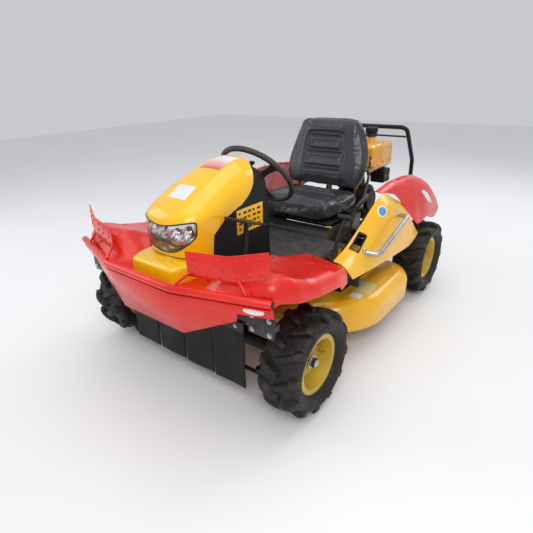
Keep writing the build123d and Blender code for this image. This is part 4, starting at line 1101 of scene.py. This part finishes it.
SLOT = [(440, 414), (432, 518), (463, 530), (475, 427)]
HANDLE_FOOT = [(0, 0.01), (0, 17), (2, 16.5), (3.5, 13), (5, 11.6), (9, 11.3), (9, 0.01)]
DOWN = Vector((0, 0, -1))
for side_name, side in (("left", 1), ("right", -1)):
    mesh_parts = on_side(panel(COVER_STATIONS, 8, 25, 0.16), side)
    cover = piece("side_panel_" + side_name, *mesh_parts, COVER_YELLOW, "chassis", ["side_cover_" + side_name],
                  "hood_yellow", sharp=60)
    cover_tree = tree_of(cover)
    thicken(cover, 4)
    slot_ring = [P(side * x, d, 460) for x, d in SLOT]
    cut(cover, *prism(slot_ring, span(0, 0, 120)))
    bevel(cover, 1.0, 3, 50)
    edge_points = []
    for (x1, d1), (x2, d2) in zip(SLOT, SLOT[1:] + SLOT[:1]):
        for share in (0.04, 0.35, 0.65, 0.96):
            start = P(side * (x1 + (x2 - x1) * share), d1 + (d2 - d1) * share, 700)
            edge_points.append(cover_tree.ray_cast(start, DOWN)[0])
    piece("cover_slot_trim_" + side_name, *swept(edge_points, 3.0, 10, closed=True), SEAL, "chassis",
          slot="black_plastic", sharp=60)
    inward = Vector((-side, 0, 0))
    oval_centre = P(side * 600, 690, 590)
    decal("cover_oval_rim_" + side_name, oval(oval_centre, span(0, 30, 12), span(0, -8, 17)), cover_tree, inward,
          WHITE, "chassis", "hood_yellow", 0.4)
    decal("cover_oval_label_" + side_name, oval(oval_centre, span(0, 24, 10), span(0, -6, 13)), cover_tree,
          inward, BLUE, "chassis", "hood_yellow", 0.8)
    feet = []
    for d, z in ((470, 470), (822, 545)):
        hit, normal, _, _ = cover_tree.ray_cast(P(side * 700, d, z), inward)
        if normal.x * side < 0:
            normal = -normal
        feet.append(lathe(HANDLE_FOOT, hit, normal, 28))
    piece("grab_handle_feet_" + side_name, *merged(feet), ZINC, "chassis", slot="bright_steel", sharp=40)

    mesh_parts = on_side(panel(FENDER_STATIONS, 7, 27, 0.18), side)
    fender = piece("rear_wing_" + side_name, *mesh_parts, RED, "chassis", ["rear_fender_" + side_name],
                   "red_paint", sharp=60)
    fender_tree = tree_of(fender)
    thicken(fender, 4)
    bevel(fender, 1.0, 3, 50)
    ridge_parts = []
    for ridge_x, ridge_d in ((402, 985), (430, 1035)):
        ridge = []
        for i in range(9):
            start = P(side * ridge_x, ridge_d + 13 * i, 900)
            hit = fender_tree.ray_cast(start, DOWN)[0]
            ridge.append(hit if hit is not None else start)
        ridge_parts.append(swept(ridge, 4.5, 12, flat=0.8))
    piece("rear_wing_ridges_" + side_name, *merged(ridge_parts), RED, "chassis", slot="red_paint", sharp=60)
    swoosh = []
    for i in range(14):
        t = i / 13
        middle_d, middle_z = 1160 + 150 * t, 640 - 110 * t
        half = 17 * math.sin(math.pi * min(1.0, t * 1.15)) ** 0.7 + 1.5
        for k in (-1.0, -0.4, 0.4, 1.0):
            swoosh.append(P(side * 620, middle_d + k * half * 0.5, middle_z + k * half))
    decal("rear_wing_graphic_" + side_name, (swoosh, 4), fender_tree, (-side, 0, -0.35), WHITE, "chassis",
          "red_paint")
    spots = []
    for start in (P(side * 404, 930, 900), P(side * 404, 1330, 900)):
        hit, normal, _, _ = fender_tree.ray_cast(start, DOWN)
        spots.append((hit, normal if normal.z > 0 else -normal))
    bolts("rear_wing_bolts_" + side_name, spots, 6.5, "chassis")

# ------------------------------------------------------------------ engine and tank details
cap_centre = P(122, 1245, 0)
cap_ribs = []
for k in range(18):
    turn = 2 * math.pi * k / 18
    out = Vector((math.cos(turn), math.sin(turn), 0))
    foot = cap_centre + out * 0.0325 + span(0, 0, 862)
    cap_ribs.append(swept([foot, foot + span(0, 0, 19)], 2.2, 8))
piece("fuel_cap_ribs", *merged(cap_ribs), PLASTIC, "fuel_cap", slot="black_plastic", sharp=60)
COLLAR = [(838, 26), (838, 31), (842, 33), (852, 32), (856, 29), (857, 26)]
piece("tank_neck_collar", *lathe(COLLAR, cap_centre, (0, 0, 1), 40), SEAL, "chassis", slot="black_plastic")

starter_centre = P(164, 1215, 480)
starter_parts = [lathe([(-2, 58), (1.5, 57), (2.5, 50), (1, 47), (1, 22), (5, 19), (6, 0.01)], starter_centre,
                       (1, 0, 0), 48)]
for k in range(16):
    turn = 2 * math.pi * k / 16
    out = Vector((0, math.cos(turn), math.sin(turn)))
    starter_parts.append(swept([starter_centre + out * 0.026, starter_centre + out * 0.044], 2.0, 8))
piece("starter_grille", *merged(starter_parts), CASTING, "chassis", slot="cast_metal", sharp=40)

engine_bolts = [(P(x, d, 386), (0, 0, 1)) for x in (-168, 168) for d in (1160, 1270)]
engine_bolts += [(P(x, 1130, z), (0, -1, 0)) for x in (-70, 70) for z in (410, 480)]
bolts("engine_bolts", engine_bolts, 6.0, "chassis")
filter_bolts = [(P(186, d, 600), (1, 0, 0)) for d in (1340, 1390)]
bolts("air_filter_bolts", filter_bolts, 5.0, "chassis")
tank_bolts = [(P(x, d, 692), (0, 0, 1)) for x in (-187, 187) for d in (1200, 1295, 1390)]
bolts("tank_flange_bolts", tank_bolts, 4.0, "chassis")

# ------------------------------------------------------------------ deck details
deck_tree = tree_of(frame["nodes"]["deck_shell"])
decal("deck_label_pale", rectangle(P(425, 500, 600), span(82, 14, 0), span(-14, 120, 0), 8, 10), deck_tree, DOWN,
      PALE, "deck", "deck_yellow")
decal("deck_label_white", rectangle(P(436, 444, 600), span(52, 10, 0), span(-6, 42, 0), 6, 6), deck_tree, DOWN,
      WHITE, "deck", "deck_yellow")

LINK_DS = (332, 782)      # where the front and rear lift links cross the deck
BRACKET_OUTLINE = [(0, 0), (70, 0), (70, 6), (10, 10), (6, 44), (0, 44)]
BRACKET_X, BRACKET_END_X = 216, 290


def deck_bracket(side, d):
    """Folded bracket with gussets on the deck beside a lift link."""
    plates = []
    for offset in (-26, 20):
        ring = [P(side * (BRACKET_X + u), d + offset, 255 + v) for u, v in BRACKET_OUTLINE]
        plates.append(prism(ring, span(0, 6, 0)))
    corners = ((BRACKET_X, -30), (BRACKET_END_X, -30), (BRACKET_END_X, 30), (BRACKET_X, 30))
    plates.append(prism([P(side * x, d + offset, 256) for x, offset in corners], span(0, 0, 5)))
    return merged(plates)


deck_plates = [deck_bracket(side, d) for side in (1, -1) for d in LINK_DS]
# Yellow brackets drawn in a darker orange-brown: painted shade.
deck_fittings = piece("deck_bracket_set", *merged(deck_plates), BRACKET_PAINTED_SHADE, "deck", slot="deck_yellow")
bevel(deck_fittings, 1.2, 2)
deck_bolts = [(P(side * x, d + offset, 261), (0, 0, 1)) for side in (1, -1) for d in LINK_DS for x in (240, 276)
              for offset in (-12, 12)]
bolts("deck_bracket_bolts", deck_bolts, 5.5, "deck")

# ------------------------------------------------------------------ wheels
LUGS = 12
WHEEL_BOLTS = 5
BOLT_CIRCLE = 44


def into_tyre(x):
    """The way in from the tread or the sidewall, as (along the axle, outward), at a distance from the middle."""
    if x < 60:
        return Vector((-0.25, -1))
    return Vector((-0.8, -0.6)) if x < 78 else Vector((-1, -0.1))


def tyre_part():
    """Tyre about its own centre, axis along X: carcass with sidewall steps, and curved chevron lugs."""
    half = [(46, 103), (53, 104), (55, 118), (66, 124), (76, 138), (81.5, 150), (80.5, 156), (82.5, 160),
            (80, 168), (74, 174), (60, 178), (40, 180.5), (20, 181.5)]
    inner = [(0, 174), (40, 172), (64, 164), (72, 150), (62, 134), (46, 120)]
    outline = half + [(-a, r) for a, r in reversed(half)] + [(-a, r) for a, r in reversed(inner)] + inner[1:]
    parts = [lathe(outline + [outline[0]], Vector((0, 0, 0)), (1, 0, 0), 112)]
    path = [(-6, 198.5, -0.030, 10), (12, 202.5, 0.000, 11), (34, 204.0, 0.055, 12), (56, 202.0, 0.120, 13.5),
            (72, 194.0, 0.165, 15), (80, 182.0, 0.185, 14), (82, 168.0, 0.190, 11), (82.5, 158.0, 0.190, 8)]
    rows = smooth_rows(path, 3)
    for side in (1, -1):
        for k in range(LUGS):
            start = 2 * math.pi * (k + (0.5 if side < 0 else 0.0)) / LUGS
            verts = []
            for index, (x, radius, swing, half_w) in enumerate(rows):
                inward = into_tyre(x)
                for across, sink in ((-1.5, 24), (-1.0, 2.0), (-0.7, 0), (0.7, 0), (1.0, 2.0), (1.5, 24)):
                    turn = start + swing + across * half_w / radius
                    depth = sink * (0.8 if x > 78 else 1.0)
                    px, pr = x + inward.x * depth, radius + inward.y * depth
                    verts.append(Vector((side * px, pr * math.sin(turn), pr * math.cos(turn))) * 0.001)
            faces = grid_faces(len(rows), 6)
            faces.append(tuple(range(5, -1, -1)))
            faces.append(tuple(range((len(rows) - 1) * 6, len(rows) * 6)))
            parts.append((verts, faces))
    return merged(parts)


def wheel_trim(side, reach):
    """Bolts round the disc, hub ring, the cap over the axle end and the valve, about the wheel's centre."""
    centre = Vector((0, 0, 0))
    outward = (side, 0, 0)
    parts = [lathe([(26, 18), (reach + 1, 17), (reach + 5, 12), (reach + 6, 0.01)], centre, outward, 6)]
    for k in range(WHEEL_BOLTS):
        turn = 2 * math.pi * (k + 0.25) / WHEEL_BOLTS
        place = span(side * 13.2, BOLT_CIRCLE * math.cos(turn), BOLT_CIRCLE * math.sin(turn))
        parts.append(hex_bolt(place, outward, 6.0))
    parts.append(lathe([(26, 27.5), (30.5, 27), (31.5, 24), (31.5, 13)], centre, outward, 36))
    valve = [span(side * 4, 82, 0), span(side * 20, 79, 0), span(side * 36, 78, 0)]
    parts.append(swept(valve, 3.2, 12))
    return merged(parts)


def moved(part, offset):
    """A (verts, faces) pair shifted by a vector."""
    verts, faces = part
    return [v + offset for v in verts], faces


TYRE_MESH = tyre_part()
for wheel_name in ("front_left", "front_right", "rear_left", "rear_right"):
    end_name, side_name = wheel_name.split("_")
    side = 1 if side_name == "left" else -1
    hub_centre = Vector(JOINTS[wheel_name + "_spin"]["pos_m"])
    tyre = piece("tyre_" + wheel_name, *moved(on_side(TYRE_MESH, side), hub_centre), TYRE, "wheel_" + wheel_name,
                 [end_name + "_tyre_" + side_name], "tyre", sharp=32)
    bevel(tyre, 1.1, 2, 32)
    axle_node = "transaxle" if end_name == "rear" else "steering_knuckle_" + side_name
    reach = (max(abs(corner[0]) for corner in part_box(axle_node)) - abs(hub_centre.x)) * 1000
    piece("wheel_trim_" + wheel_name, *moved(wheel_trim(side, reach), hub_centre), ZINC, "wheel_" + wheel_name,
          slot="bright_steel", sharp=30)

# ------------------------------------------------------------------ studio
floor_verts = [Vector((x * 0.6, y * 0.6, 0)) for x in range(-16, 17) for y in range(-16, 17)]
floor = bpy.data.meshes.new("studio_floor")
floor.from_pydata([tuple(v) for v in floor_verts], [], grid_faces(33, 33))
floor.materials.append(surface("floor_pale", (0.88, 0.88, 0.88), (0.86, 0.86, 0.86), (0.55, 0.65), blotch=1.5,
                               bump=0.02, grain=60))
floor_object = linked("studio_floor", floor)

world = bpy.data.worlds.new("studio_air")
world.use_nodes = True
world.node_tree.nodes["Background"].inputs["Color"].default_value = (0.93, 0.95, 1.0, 1)
world.node_tree.nodes["Background"].inputs["Strength"].default_value = 0.62
bpy.context.scene.world = world
bpy.context.scene.view_settings.view_transform = "Standard"


def soft_light(name, place, target, size, power, colour=(1, 1, 1)):
    """A rectangular light that looks at its target."""
    data = bpy.data.lights.new(name, "AREA")
    data.shape = "RECTANGLE"
    data.size, data.size_y = size
    data.energy = power
    data.color = colour
    light = linked(name, data)
    light.location = place
    light.rotation_mode = "QUATERNION"
    light.rotation_quaternion = (Vector(target) - Vector(place)).to_track_quat("-Z", "Y")


soft_light("key", (2.2, -2.6, 3.2), (0, 0, 0.4), (2.2, 1.6), 62, (1.0, 0.98, 0.95))
soft_light("fill", (-3.0, -1.8, 2.2), (0, 0, 0.4), (2.5, 2.0), 26, (0.95, 0.97, 1.0))
soft_light("back", (1.0, 3.2, 2.8), (0, 0, 0.5), (2.6, 1.4), 34)
soft_light("top", (0.0, 0.0, 4.0), (0, 0, 0), (3.0, 3.0), 34)

CAMERA_PLACE = (1.199, -1.688, 1.165)
CAMERA_AZIMUTH, CAMERA_DOWN, CAMERA_ROLL = 38.48, 24.08, -1.62
FOCAL_OVER_WIDTH = 426 / 533
azimuth, down, roll = (math.radians(a) for a in (CAMERA_AZIMUTH, CAMERA_DOWN, CAMERA_ROLL))
look = Vector((-math.sin(azimuth) * math.cos(down), math.cos(azimuth) * math.cos(down), -math.sin(down)))
level = look.cross(Vector((0, 0, 1))).normalized()
upright = level.cross(look)
right = level * math.cos(roll) + upright * math.sin(roll)
above = upright * math.cos(roll) - level * math.sin(roll)
camera_data = bpy.data.cameras.new("camera")
camera_data.sensor_width = 36.0
camera_data.lens = 36.0 * FOCAL_OVER_WIDTH
camera = linked("camera", camera_data)
camera.matrix_world = Matrix((right, above, -look)).transposed().to_4x4()
camera.location = CAMERA_PLACE
bpy.context.scene.camera = camera
